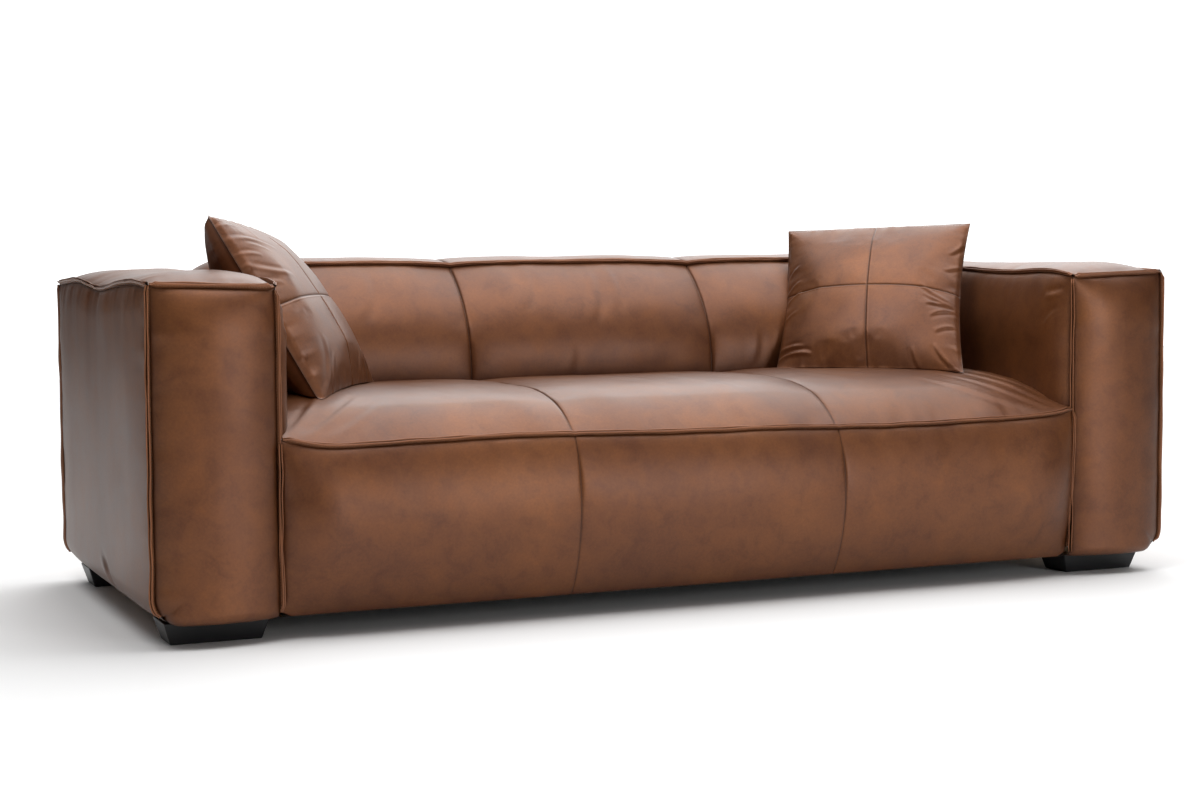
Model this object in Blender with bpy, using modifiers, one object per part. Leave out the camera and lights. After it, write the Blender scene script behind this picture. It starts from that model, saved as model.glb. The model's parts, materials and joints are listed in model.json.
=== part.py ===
"""Three-seat leather sofa with box arms, block feet and two loose cushions.

Metres, +Z up. The sofa faces -Y, and +X is on the right of someone who looks at its front.
The origin is on the floor, under the middle of the whole object.
"""
import math

import bmesh
import bpy
from mathutils import Vector

# Whole sofa
WIDTH = 2.300  # between the outer seams of the two arms
DEPTH = 0.938  # from the arms' front seams to their rear seams
BODY_BOTTOM = 0.044  # underside of the upholstery, which stands on the feet
BORDER_BULGE = 0.045  # how far the seat's front border stands proud of the front seams
REAR_BULGE = 0.017  # how far the rear panel stands proud of the rear seams
FRONT_Y = (BORDER_BULGE - REAR_BULGE - DEPTH) / 2.0
REAR_Y = FRONT_Y + DEPTH
GAP = 0.0005  # between pieces that touch
LEATHER = 0.002

# Arms
ARM_WIDTH = 0.240
ARM_HEIGHT = 0.674  # top seams
ARM_CROWN = 0.026  # rise of the top panel between its seams
ARM_SIDE_BULGE = 0.014
ARM_INNER_BULGE = 0.010
ARM_OUTER_X = WIDTH / 2.0
ARM_INNER_X = ARM_OUTER_X - ARM_WIDTH
ARM_CORNER = 0.055  # radius of the lower outer edge
ARM_WIDTH_LEVELS = (0.0, 0.06, 0.12, ARM_WIDTH - ARM_CORNER, ARM_WIDTH - 0.4 * ARM_CORNER, ARM_WIDTH)
ARM_HEIGHT_LEVELS = (0.0, 0.4 * ARM_CORNER, ARM_CORNER, 0.17, 0.29, 0.41, 0.53, ARM_HEIGHT - BODY_BOTTOM)
ARM_LENGTH_CUTS = 7
WADDING_SIDE = 0.008
WADDING_TOP = 0.030
WADDING_CORNER = 0.012  # cut off along both top edges
BOARD = 0.018
THIN_PANEL = 0.003

# Feet
FOOT_TOP = (0.205, 0.100)
FOOT_BOTTOM = (0.177, 0.080)
FOOT_X = 1.0225
FOOT_INSET_Y = 0.087  # from the arm's seam plane to the middle of the foot
FOOT_BEVEL = 0.002
BOLT_RADIUS = 0.004
BOLT_HOLE_RADIUS = 0.0044
BOLT_LOW = 0.014
BOLT_HIGH = 0.080
BOLT_SIDES = 12

# Seat
SEAT_HALF = ARM_INNER_X - ARM_INNER_BULGE - GAP
SEAT_SEAM = (FRONT_Y - 0.008, 0.365)
SEAT_RISE = 0.080  # from the front seam to the highest line of the seat
SEAT_REAR_Y = 0.120
SEAT_REAR_DROP = 0.014
SEAT_SHAPE = 6.4
SEAT_STEPS = 10
BORDER_FOOT = (-0.440, BODY_BOTTOM + GAP)
BORDER_BOW = 0.0485
BORDER_SHAPE = 0.7
BORDER_STEPS = 9
SEAT_WADDING = 0.012
# Distance from an arm, and what is left there of the border's bow and of the seat's rise
SEAT_ENDS = ((0.0, 0.45, 0.77), (0.020, 0.75, 0.84), (0.050, 0.93, 0.93), (0.095, 1.0, 1.0))

# Back
BACK_HALF = SEAT_HALF
BACK_FACE_Y = SEAT_REAR_Y + 0.004
BACK_FACE_LOW = 0.400
BACK_CURVE_START = 0.440
BACK_SEAM = (0.262, 0.697)
BACK_SHAPE = 2.6
BACK_FACE_STEPS = 9
BACK_REAR_SEAM = (REAR_Y - 0.003, 0.690)
BACK_CROWN = 0.026
BACK_TOP_STEPS = 8

# Seams between the three panels of the seat and of the back
BAY_X = 0.303
SEAM_REACH = 0.035  # the panels slope towards a seam from this far
SEAT_SEAM_DIP = 0.004
BACK_SEAM_DIP = 0.008
BACK_END_DIP = 0.050  # how far the back rounds off beside the arms
PADDING_DIP = 0.004  # extra room in the padding under each seam
PADDING_ROOM = 0.005  # between the seat's leather and its wadding

# Timber frame
RAIL = 0.025
RAIL_LOW = 0.055
RAIL_HIGH = 0.300
SEAT_RAIL_FRONT_Y = -0.435
SEAT_RAIL_REAR_Y = 0.100
RAIL_HALF = 0.878
BACK_RAIL_Y = (0.397, 0.437)
BACK_POST_Y = (0.4375, 0.4725)
BACK_RAIL_TOP = (0.600, 0.660)
BACK_RAIL_BOTTOM = (0.330, 0.390)
BACK_POST_HALF = 0.020
STRETCHER_HIGH = 0.150
FOAM_UNDERSIDE = 0.330

# Springs of the seat
SPRING_WIRE = 0.0019
SPRING_LOOPS = 13
SPRING_HALF_WIDTH = 0.026
SPRING_BOW = 0.020
SPRINGS_PER_BAY = 3
SPRING_SPACING = 0.180
SPRING_OVERLAP = 0.015  # how far each end lies over its rail

# Loose cushions
CUSHION_SIDE = 0.442
CUSHION_FRONT = 0.064
CUSHION_BACK = 0.038
CUSHION_RIM = 0.005
CUSHION_PULL = 0.06
CUSHION_CUTS = 7
CUSHION_COVER = 0.0015
CUSHION_FILL_INSET = 0.018
CUSHIONS = {  # corners, seen from the front: top left, top right, bottom left, bottom right
    "left": ((-0.973, -0.190, 0.823), (-0.757, 0.194, 0.786), (-0.779, -0.315, 0.442), (-0.552, 0.058, 0.447)),
    "right": ((0.590, 0.272, 0.782), (0.898, -0.066, 0.797), (0.444, 0.067, 0.448), (0.745, -0.273, 0.451)),
}

# Colour, roughness and metallic value of each material
FINISHES = {
    "leather": ((0.105, 0.050, 0.026, 1.0), 0.42, 0.0),
    "foot_wood": ((0.020, 0.016, 0.014, 1.0), 0.35, 0.0),
    "frame_wood": ((0.55, 0.39, 0.24, 1.0), 0.75, 0.0),
    "hardboard": ((0.30, 0.19, 0.11, 1.0), 0.85, 0.0),
    "foam": ((0.86, 0.80, 0.62, 1.0), 0.95, 0.0),
    "wadding": ((0.92, 0.92, 0.90, 1.0), 1.0, 0.0),
    "lining": ((0.03, 0.03, 0.03, 1.0), 0.95, 0.0),
    "steel": ((0.55, 0.56, 0.58, 1.0), 0.35, 1.0),
}


def clear_scene():
    for obj in list(bpy.data.objects):
        bpy.data.objects.remove(obj)
    for collection in list(bpy.data.collections):
        bpy.data.collections.remove(collection)


def new_collection(name):
    collection = bpy.data.collections.new(name)
    bpy.context.scene.collection.children.link(collection)
    return collection


def paint(obj, finish):
    """Give the object a material of its own."""
    colour, roughness, metallic = FINISHES[finish]
    material = bpy.data.materials.new(obj.name)
    material.use_nodes = True
    shader = material.node_tree.nodes["Principled BSDF"]
    shader.inputs["Base Color"].default_value = colour
    shader.inputs["Roughness"].default_value = roughness
    shader.inputs["Metallic"].default_value = metallic
    obj.data.materials.append(material)


def add_object(name, data, finish, collection):
    obj = bpy.data.objects.new(name, data)
    collection.objects.link(obj)
    paint(obj, finish)
    return obj


def mesh_from(bm, name):
    mesh = bpy.data.meshes.new(name)
    bm.to_mesh(mesh)
    bm.free()
    return mesh


def box(name, x, y, z, finish, collection):
    """A plain box between the pairs of limits x, y and z."""
    bm = gridded_cube((0, 0, 0))
    fit_cube(bm, x, y, z)
    return add_object(name, mesh_from(bm, name), finish, collection)


def gridded_cube(cuts):
    """A cube from -1 to 1, with the given number of cuts across each axis."""
    bm = bmesh.new()
    bmesh.ops.create_cube(bm, size=2.0)
    for axis, count in enumerate(cuts):
        if count:
            along = [e for e in bm.edges if abs((e.verts[0].co - e.verts[1].co)[axis]) > 1e-6]
            bmesh.ops.subdivide_edges(bm, edges=along, cuts=count, use_grid_fill=True)
    return bm


def fit_cube(bm, x, y, z):
    """Move the points of a cube from -1 to 1 to a box between the limits."""
    for vert in bm.verts:
        for axis, (low, high) in enumerate((x, y, z)):
            vert.co[axis] = low + (high - low) * (vert.co[axis] + 1.0) / 2.0


def add_solidify(obj, thickness):
    shell = obj.modifiers.new("thickness", "SOLIDIFY")
    shell.thickness = thickness
    shell.offset = -1.0
    shell.use_even_offset = True


def draped(name, columns, finish, collection):
    """A solid with flat ends through one closed (y, z) outline for each X."""
    bm = bmesh.new()
    rows = [[bm.verts.new((x, y, z)) for y, z in outline] for x, outline in columns]
    for row, after in zip(rows, rows[1:]):
        pairs = list(zip(row, after))
        pairs.append(pairs[0])
        for (low, high), (low_next, high_next) in zip(pairs, pairs[1:]):
            bm.faces.new((low, high, high_next, low_next))
    bm.faces.new(rows[0])
    bm.faces.new(reversed(rows[-1]))
    return add_object(name, mesh_from(bm, name), finish, collection)


def inset(profile, distance):
    """The profile moved towards its inner side, which is the right-hand side along it."""
    points = [Vector(p) for p in profile]
    moved = []
    for i, point in enumerate(points):
        before = points[max(i - 1, 0)]
        after = points[min(i + 1, len(points) - 1)]
        along = (after - before).normalized()
        moved.append((point.x + along.y * distance, point.y - along.x * distance))
    return moved


def bay_positions(half):
    """X of each column: near both arms, at and beside the panel seams, and in the middle."""
    ends = [half - distance for distance, _, _ in SEAT_ENDS]
    seams = [BAY_X + shift for shift in (-SEAM_REACH, 0.0, SEAM_REACH)]
    positive = sorted(ends + seams)
    return [-x for x in reversed(positive)] + [0.0] + positive


def seam_dip(x, depth):
    """How far a seam between panels pulls the surface in at X."""
    return depth if abs(abs(x) - BAY_X) < SEAM_REACH / 2.0 else 0.0


def end_share(x, half, column):
    """The share of the border's bow (column 1) or of the seat's rise (column 2) left at X."""
    shares = [end[column] for end in SEAT_ENDS if half - abs(x) <= end[0] + GAP]
    return shares[0] if shares else 1.0


def border_profile(bow_share):
    """(y, z) points from the underside up the bowed border, short of the front seam."""
    points = []
    for i in range(BORDER_STEPS):
        up = i / BORDER_STEPS
        y = BORDER_FOOT[0] + (SEAT_SEAM[0] - BORDER_FOOT[0]) * up
        z = BORDER_FOOT[1] + (SEAT_SEAM[1] - BORDER_FOOT[1]) * up
        bow = BORDER_BOW * bow_share * math.sin(math.pi * up) ** BORDER_SHAPE
        points.append((y - bow, z))
    return points


def seat_top_profile(rise_share):
    """(y, z) points from the front seam over the seat to its rear."""
    points = []
    for i in range(SEAT_STEPS + 1):
        back = (i / SEAT_STEPS) ** 1.6
        y = SEAT_SEAM[0] + (SEAT_REAR_Y - SEAT_SEAM[0]) * back
        rise = SEAT_RISE * (1.0 - (1.0 - back) ** SEAT_SHAPE)
        drop = SEAT_REAR_DROP * back ** 2
        points.append((y, SEAT_SEAM[1] + (rise - drop) * rise_share))
    return points


def seat_profile(x, half):
    """The whole (y, z) outline of the seat's leather at X."""
    border = border_profile(end_share(x, half, 1))
    return border + seat_top_profile(end_share(x, half, 2))


def back_face_profile():
    """(y, z) points from the foot of the back up its front face to the top seam."""
    points = [(BACK_FACE_Y, BACK_FACE_LOW)]
    for i in range(BACK_FACE_STEPS + 1):
        up = i / BACK_FACE_STEPS
        y = BACK_FACE_Y + (BACK_SEAM[0] - BACK_FACE_Y) * up ** BACK_SHAPE
        points.append((y, BACK_CURVE_START + (BACK_SEAM[1] - BACK_CURVE_START) * up))
    return points


def back_top_profile():
    """(y, z) points from the front top seam over the crown to the rear seam."""
    points = []
    for i in range(1, BACK_TOP_STEPS + 1):
        across = i / BACK_TOP_STEPS
        y = BACK_SEAM[0] + (BACK_REAR_SEAM[0] - BACK_SEAM[0]) * across
        z = BACK_SEAM[1] + (BACK_REAR_SEAM[1] - BACK_SEAM[1]) * across
        points.append((y, z + BACK_CROWN * max(math.sin(math.pi * across), 0.0) ** BORDER_SHAPE))
    return points


def side_limits(side, near, far):
    """The X limits of a piece between two distances from the middle, on one side."""
    return (near, far) if side > 0 else (-far, -near)


def round_lower_edge(point):
    """Move a point of an arm's section, from its inner foot, onto a round lower outer corner."""
    across, up = point.x - (ARM_WIDTH - ARM_CORNER), ARM_CORNER - point.y
    if across > 0.0 and up > 0.0:
        shrink = max(across, up) / math.hypot(across, up)
        return Vector((point.x + across * (shrink - 1.0), point.y - up * (shrink - 1.0)))
    return point


def arm_cover(name, side, collection):
    """The leather of one arm: a box open underneath, with crowned panels and a round lower edge."""
    cuts = (len(ARM_WIDTH_LEVELS) - 2, ARM_LENGTH_CUTS, len(ARM_HEIGHT_LEVELS) - 2)
    bm = gridded_cube(cuts)
    under = [f for f in bm.faces if all(v.co.z < -0.999 for v in f.verts)]
    bmesh.ops.delete(bm, geom=under, context="FACES")
    sleeve = SEAT_SEAM[1] - BODY_BOTTOM
    for vert in bm.verts:
        x, y, z = vert.co
        across = ARM_WIDTH_LEVELS[round((x + 1.0) / 2.0 * (cuts[0] + 1))]
        up = ARM_HEIGHT_LEVELS[round((z + 1.0) / 2.0 * (cuts[2] + 1))]
        section = round_lower_edge(Vector((across, up)))
        flat_x, flat_z = across / ARM_WIDTH * 2.0 - 1.0, up / ARM_HEIGHT_LEVELS[-1] * 2.0 - 1.0
        along = 1.0 - y ** 4
        if z > 0.999:
            section.y += ARM_CROWN * (1.0 - flat_x ** 2) * along
        if x > 0.999:
            section.x += ARM_SIDE_BULGE * (1.0 - flat_z ** 2) * along
        if x < -0.999 and up > sleeve:
            section.x -= ARM_INNER_BULGE * (1.0 - flat_z ** 2) * along
        depth = FRONT_Y + DEPTH * (y + 1.0) / 2.0
        vert.co = (side * (ARM_INNER_X + section.x), depth, BODY_BOTTOM + section.y)
    if side < 0:
        bmesh.ops.reverse_faces(bm, faces=bm.faces)
    obj = add_object(name, mesh_from(bm, name), "leather", collection)
    add_solidify(obj, LEATHER)
    return obj


def arm_wadding(name, side, collection):
    """Wadding over the top and down both sides of an arm, as an inverted U that runs along Y."""
    clear = LEATHER + GAP
    low_x, high_x = ARM_INNER_X + clear, ARM_OUTER_X - clear
    top, foot = ARM_HEIGHT - clear, BODY_BOTTOM + BOARD + 3 * GAP
    outer_foot = BODY_BOTTOM + ARM_CORNER
    outline = [
        (low_x, foot),
        (low_x, top - WADDING_CORNER),
        (low_x + WADDING_CORNER, top),
        (high_x - WADDING_CORNER, top),
        (high_x, top - WADDING_CORNER),
        (high_x, outer_foot),
        (high_x - WADDING_SIDE, outer_foot),
        (high_x - WADDING_SIDE, top - WADDING_TOP),
        (low_x + WADDING_SIDE, top - WADDING_TOP),
        (low_x + WADDING_SIDE, foot),
    ]
    curve = bpy.data.curves.new(name, "CURVE")
    curve.dimensions = "2D"
    curve.fill_mode = "BOTH"
    curve.extrude = DEPTH / 2.0 - clear
    spline = curve.splines.new("POLY")
    spline.points.add(len(outline) - 1)
    for point, (x, z) in zip(spline.points, outline):
        point.co = (side * x, z, 0.0, 1.0)
    spline.use_cyclic_u = True
    obj = add_object(name, curve, "wadding", collection)
    obj.rotation_euler = (math.pi / 2.0, 0.0, 0.0)
    obj.location.y = (FRONT_Y + REAR_Y) / 2.0
    return obj


def arm_frame(prefix, side, collection):
    """Boards of one arm: base, front, rear and top, with a thin panel on each side."""
    skin = LEATHER + WADDING_SIDE + 2 * GAP
    low_x, high_x = ARM_INNER_X + skin, ARM_OUTER_X - skin
    panels = {
        "inner_panel": (low_x, low_x + THIN_PANEL, BODY_BOTTOM + BOARD + 3 * GAP),
        "outer_panel": (high_x - THIN_PANEL, high_x, BODY_BOTTOM + ARM_CORNER),
    }
    board_x = side_limits(side, low_x + THIN_PANEL + GAP, high_x - THIN_PANEL - GAP)
    front, rear = FRONT_Y + BOARD / 2.0, REAR_Y - BOARD / 2.0
    base_top = BODY_BOTTOM + GAP + BOARD
    top_high = ARM_HEIGHT - LEATHER - WADDING_TOP - 2 * GAP
    top_low = top_high - BOARD
    upright = (BODY_BOTTOM + ARM_CORNER / 2.0, top_low - GAP)
    base_x = side_limits(side, low_x + THIN_PANEL + GAP, ARM_OUTER_X - ARM_CORNER + LEATHER)
    base_y = (front + BOARD + GAP, rear - BOARD - GAP)
    base_z = (BODY_BOTTOM + GAP, base_top)
    base = box(prefix + "_base_board", base_x, base_y, base_z, "frame_wood", collection)
    box(prefix + "_top_board", board_x, (front, rear), (top_low, top_high), "frame_wood", collection)
    box(prefix + "_front_board", board_x, (front, front + BOARD), upright, "frame_wood", collection)
    box(prefix + "_rear_board", board_x, (rear - BOARD, rear), upright, "frame_wood", collection)
    for name, (near, far, low) in panels.items():
        limits = side_limits(side, near, far)
        box(prefix + "_" + name, limits, (front, rear), (low, top_high), "hardboard", collection)
    return base


def foot(name, x, y, collection):
    """A wooden block that narrows towards the floor."""
    bm = gridded_cube((0, 0, 0))
    for vert in bm.verts:
        width, depth = FOOT_BOTTOM if vert.co.z < 0 else FOOT_TOP
        vert.co.x *= width / 2.0
        vert.co.y *= depth / 2.0
        vert.co.z = 0.0 if vert.co.z < 0 else BODY_BOTTOM - GAP
    obj = add_object(name, mesh_from(bm, name), "foot_wood", collection)
    obj.location = (x, y, 0.0)
    edges = obj.modifiers.new("soft edges", "BEVEL")
    edges.width = FOOT_BEVEL
    edges.segments = 2
    return obj


def upright_cylinder(name, x, y, radius, low, high):
    bm = bmesh.new()
    bmesh.ops.create_cone(
        bm, cap_ends=True, segments=BOLT_SIDES, radius1=radius, radius2=radius, depth=high - low
    )
    obj = bpy.data.objects.new(name, mesh_from(bm, name))
    obj.location = (x, y, (low + high) / 2.0)
    return obj


def drill(obj, cutter):
    hole = obj.modifiers.new("bolt hole", "BOOLEAN")
    hole.operation = "DIFFERENCE"
    hole.solver = "EXACT"
    hole.object = cutter


def foot_set(name, x, y, base_board, collection, cutters):
    """One foot, its bolt, and the holes that the bolt passes through."""
    block = foot("foot_" + name, x, y, collection)
    bolt = upright_cylinder("foot_bolt_" + name, x, y, BOLT_RADIUS, BOLT_LOW, BOLT_HIGH)
    collection.objects.link(bolt)
    paint(bolt, "steel")
    cutter = upright_cylinder("hole_" + name, x, y, BOLT_HOLE_RADIUS, BOLT_LOW - GAP, BOLT_HIGH + GAP)
    cutter.hide_render = True
    cutter.display_type = "WIRE"
    cutters.objects.link(cutter)
    drill(block, cutter)
    drill(base_board, cutter)


def build_arm(side, collection, cutters):
    hand = "right" if side > 0 else "left"
    arm_cover("arm_cover_" + hand, side, collection)
    arm_wadding("arm_wadding_" + hand, side, collection)
    base_board = arm_frame("arm_" + hand, side, collection)
    ends = {"front": FRONT_Y + FOOT_INSET_Y, "rear": REAR_Y - FOOT_INSET_Y}
    for end, y in ends.items():
        foot_set(end + "_" + hand, side * FOOT_X, y, base_board, collection, cutters)


def layer(profile, depth, thickness, skip=0):
    """The closed outline of a layer that starts at a depth under a profile."""
    outer = inset(profile, depth)[skip:]
    inner = inset(profile, depth + thickness)[skip:]
    return outer + inner[::-1]


def build_seat_upholstery(collection):
    positions = bay_positions(SEAT_HALF)
    leather = [
        (x, layer(seat_profile(x, SEAT_HALF), seam_dip(x, SEAT_SEAM_DIP), LEATHER))
        for x in positions
    ]
    draped("seat_cover", leather, "leather", collection)
    clear = LEATHER + PADDING_ROOM
    half = SEAT_HALF - clear
    front = SEAT_RAIL_FRONT_Y - GAP
    padding, core = [], []
    for x in bay_positions(half):
        profile = seat_profile(x, half)
        depth = clear + seam_dip(x, SEAT_SEAM_DIP + PADDING_DIP)
        padding.append((x, layer(profile, depth, SEAT_WADDING, 2)))
        outline = inset(profile, depth + SEAT_WADDING + 6 * GAP)[3:]
        under = [(outline[-1][0], FOAM_UNDERSIDE), (front, FOAM_UNDERSIDE), (front, outline[0][1])]
        core.append((x, outline + under))
    draped("seat_wadding", padding, "wadding", collection)
    draped("seat_foam", core, "foam", collection)


def back_dip(x, half, seam_depth):
    """How far the back's surface lies inwards at X, at its panel seams and its rounded ends."""
    reach = SEAT_ENDS[3][0]
    into_end = min(max(1.0 - (half - abs(x)) / reach, 0.0), 1.0)
    return seam_dip(x, seam_depth) + BACK_END_DIP * into_end ** 2


def build_back_upholstery(collection):
    profile = back_face_profile() + back_top_profile()
    leather = [
        (x, layer(profile, back_dip(x, BACK_HALF, BACK_SEAM_DIP), LEATHER))
        for x in bay_positions(BACK_HALF)
    ]
    draped("back_cover", leather, "leather", collection)
    rail_front, rail_top = BACK_RAIL_Y[0] - GAP, BACK_RAIL_TOP[1] + GAP
    clear = LEATHER + 2 * GAP
    core = []
    half = BACK_HALF - clear
    for x in bay_positions(half):
        depth = clear + 2 * GAP + back_dip(x, half, BACK_SEAM_DIP + PADDING_DIP)
        outline = inset(profile, depth)
        under = [(outline[-1][0], rail_top), (rail_front, rail_top), (rail_front, outline[0][1])]
        core.append((x, outline + under))
    draped("back_foam", core, "foam", collection)


def build_rear_panel(collection):
    """The leather panel that closes the rear between the arms, as a bowed sheet."""
    bm = gridded_cube((5, 0, 5))
    spare = [f for f in bm.faces if any(v.co.y < 0 for v in f.verts)]
    bmesh.ops.delete(bm, geom=spare, context="FACES")
    bows = {v: REAR_BULGE * (1.0 - v.co.x ** 4) * (1.0 - v.co.z ** 2) for v in bm.verts}
    limits = (BODY_BOTTOM + GAP, BACK_REAR_SEAM[1] - 2 * LEATHER)
    fit_cube(bm, (-BACK_HALF, BACK_HALF), (REAR_Y, REAR_Y), limits)
    for vert, bow in bows.items():
        vert.co.y += bow
    obj = add_object("back_rear_cover", mesh_from(bm, "back_rear_cover"), "leather", collection)
    add_solidify(obj, LEATHER)


def build_timber(collection):
    """Rails of the seat and the back, and the posts that join them."""
    heights = (RAIL_LOW, RAIL_HIGH)
    across = (-RAIL_HALF, RAIL_HALF)
    front = (SEAT_RAIL_FRONT_Y, SEAT_RAIL_FRONT_Y + RAIL)
    rear = (SEAT_RAIL_REAR_Y, SEAT_RAIL_REAR_Y + RAIL)
    box("seat_front_rail", across, front, heights, "frame_wood", collection)
    box("seat_rear_rail", across, rear, heights, "frame_wood", collection)
    box("back_top_rail", across, BACK_RAIL_Y, BACK_RAIL_TOP, "frame_wood", collection)
    box("back_bottom_rail", across, BACK_RAIL_Y, BACK_RAIL_BOTTOM, "frame_wood", collection)
    for side, hand in ((-1, "left"), (1, "right")):
        rail_x = side_limits(side, RAIL_HALF + GAP, RAIL_HALF + GAP + RAIL)
        rail_y = (SEAT_RAIL_FRONT_Y, BACK_POST_Y[0] - GAP)
        box("seat_side_rail_" + hand, rail_x, rail_y, heights, "frame_wood", collection)
        brace_x = side_limits(side, BAY_X - RAIL / 2.0, BAY_X + RAIL / 2.0)
        brace_y = (front[1] + GAP, rear[0] - GAP)
        brace_z = (RAIL_LOW, STRETCHER_HIGH)
        box("seat_stretcher_" + hand, brace_x, brace_y, brace_z, "frame_wood", collection)
        posts = {"inner": BAY_X, "outer": RAIL_HALF - BACK_POST_HALF}
        for place, x in posts.items():
            post_x = side_limits(side, x - BACK_POST_HALF, x + BACK_POST_HALF)
            post_z = (RAIL_LOW, BACK_RAIL_TOP[1])
            box(f"back_post_{place}_{hand}", post_x, BACK_POST_Y, post_z, "frame_wood", collection)


def seat_spring(name, x, collection):
    """A zigzag wire spring from the front rail to the rear rail, bowed upwards."""
    start = SEAT_RAIL_FRONT_Y + RAIL - SPRING_OVERLAP
    end = SEAT_RAIL_REAR_Y + SPRING_OVERLAP
    pitch = (end - start) / SPRING_LOOPS
    curve = bpy.data.curves.new(name, "CURVE")
    curve.dimensions = "3D"
    curve.bevel_depth = SPRING_WIRE
    curve.bevel_resolution = 2
    curve.use_fill_caps = True
    spline = curve.splines.new("POLY")
    spline.points.add(2 * SPRING_LOOPS - 1)
    rest = RAIL_HIGH + SPRING_WIRE + GAP
    for i, point in enumerate(spline.points):
        loop, second = divmod(i, 2)
        y = start + pitch * (loop + 0.1 + 0.8 * second)
        bow = SPRING_BOW * math.sin(math.pi * (y - start) / (end - start))
        shift = SPRING_HALF_WIDTH if loop % 2 else -SPRING_HALF_WIDTH
        point.co = (x + shift, y, rest + bow, 1.0)
    add_object(name, curve, "steel", collection)


def build_springs(collection):
    for bay, middle in enumerate((-2 * BAY_X, 0.0, 2 * BAY_X)):
        for i in range(SPRINGS_PER_BAY):
            x = middle + (i - (SPRINGS_PER_BAY - 1) / 2.0) * SPRING_SPACING
            seat_spring(f"seat_spring_{bay * SPRINGS_PER_BAY + i + 1}", x, collection)


def build_dust_cover(collection):
    rear = REAR_Y - 3 * LEATHER
    heights = (BODY_BOTTOM + GAP, BODY_BOTTOM + 3 * GAP)
    edges = (BORDER_FOOT[0] + 2 * LEATHER, rear)
    box("dust_cover", (-SEAT_HALF, SEAT_HALF), edges, heights, "lining", collection)


def cushion_point(corners, u, v):
    """Where (u, v), from -1 to 1 across and up a cushion, lies, and the direction of its back there."""
    top_left, top_right, low_left, low_right = corners
    across, up = (1.0 + u) / 2.0, (1.0 + v) / 2.0
    top = top_left.lerp(top_right, across)
    low = low_left.lerp(low_right, across)
    left = low_left.lerp(top_left, up)
    right = low_right.lerp(top_right, up)
    return low.lerp(top, up), (top - low).cross(right - left).normalized()


def cushion_mesh(name, corners, shrink, open_seam):
    """A square cushion between four corners; side -1 of the starting cube is its front."""
    bm = gridded_cube((CUSHION_CUTS, 0, CUSHION_CUTS))
    if open_seam:
        seam = [f for f in bm.faces if all(v.co.z < -0.999 for v in f.verts)]
        bmesh.ops.delete(bm, geom=seam, context="FACES")
    scale = 1.0 - 2.0 * shrink / CUSHION_SIDE
    rim = max(CUSHION_RIM - shrink / 2.0, GAP)
    for vert in bm.verts:
        u, side, v = vert.co
        crown = math.sqrt(max((1.0 - u ** 2) * (1.0 - v ** 2), 0.0))
        deep = CUSHION_FRONT if side < 0 else CUSHION_BACK
        across = u * scale * (1.0 - CUSHION_PULL * (1.0 - v ** 2) * u ** 2)
        up = v * scale * (1.0 - CUSHION_PULL * (1.0 - u ** 2) * v ** 2)
        place, back = cushion_point(corners, across, up)
        vert.co = place + back * side * (rim + (deep - CUSHION_RIM - shrink / 2.0) * crown)
    return mesh_from(bm, name)


def build_cushion(hand, collection):
    """A loose cushion on an empty, which lifts straight up off the seat."""
    corners = [Vector(corner) for corner in CUSHIONS[hand]]
    centre = sum(corners, Vector()) / len(corners)
    lift = bpy.data.objects.new(f"cushion_{hand}_lift", None)
    lift.location = centre
    collection.objects.link(lift)
    own = [corner - centre for corner in corners]
    pieces = (("cover", "leather", 0.0, True), ("fill", "wadding", CUSHION_FILL_INSET, False))
    for part, finish, shrink, open_seam in pieces:
        name = f"cushion_{part}_{hand}"
        obj = add_object(name, cushion_mesh(name, own, shrink, open_seam), finish, collection)
        obj.parent = lift
        if open_seam:
            add_solidify(obj, CUSHION_COVER)


def main():
    clear_scene()
    sofa = new_collection("sofa_with_wooden_legs")
    cutters = new_collection("cutters")
    for side in (-1, 1):
        build_arm(side, sofa, cutters)
    build_seat_upholstery(sofa)
    build_back_upholstery(sofa)
    build_rear_panel(sofa)
    build_timber(sofa)
    build_springs(sofa)
    build_dust_cover(sofa)
    for hand in CUSHIONS:
        build_cushion(hand, sofa)


main()
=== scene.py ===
"""Looks of the three-seat leather sofa: padded leather with raised double-lip seams, stitching,
two loose cushions, wooden feet, and the materials of everything inside."""
import json
import math

import bpy
import numpy as np
from mathutils import Matrix, Vector


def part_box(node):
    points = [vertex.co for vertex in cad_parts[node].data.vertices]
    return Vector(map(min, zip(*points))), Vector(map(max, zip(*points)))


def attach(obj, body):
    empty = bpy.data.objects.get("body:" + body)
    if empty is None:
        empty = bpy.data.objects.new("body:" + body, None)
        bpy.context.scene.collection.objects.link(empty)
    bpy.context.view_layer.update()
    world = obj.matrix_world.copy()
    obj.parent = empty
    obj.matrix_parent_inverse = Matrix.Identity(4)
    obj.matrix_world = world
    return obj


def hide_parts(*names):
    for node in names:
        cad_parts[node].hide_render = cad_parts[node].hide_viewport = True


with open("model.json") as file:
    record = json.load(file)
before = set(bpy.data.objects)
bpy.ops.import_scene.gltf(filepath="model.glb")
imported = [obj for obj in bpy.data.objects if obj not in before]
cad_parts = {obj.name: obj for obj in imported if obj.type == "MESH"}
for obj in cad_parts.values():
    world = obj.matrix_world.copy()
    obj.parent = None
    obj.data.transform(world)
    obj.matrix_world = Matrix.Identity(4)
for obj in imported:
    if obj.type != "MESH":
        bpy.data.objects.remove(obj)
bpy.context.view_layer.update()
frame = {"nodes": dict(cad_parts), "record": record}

NODES = frame["nodes"]

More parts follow.
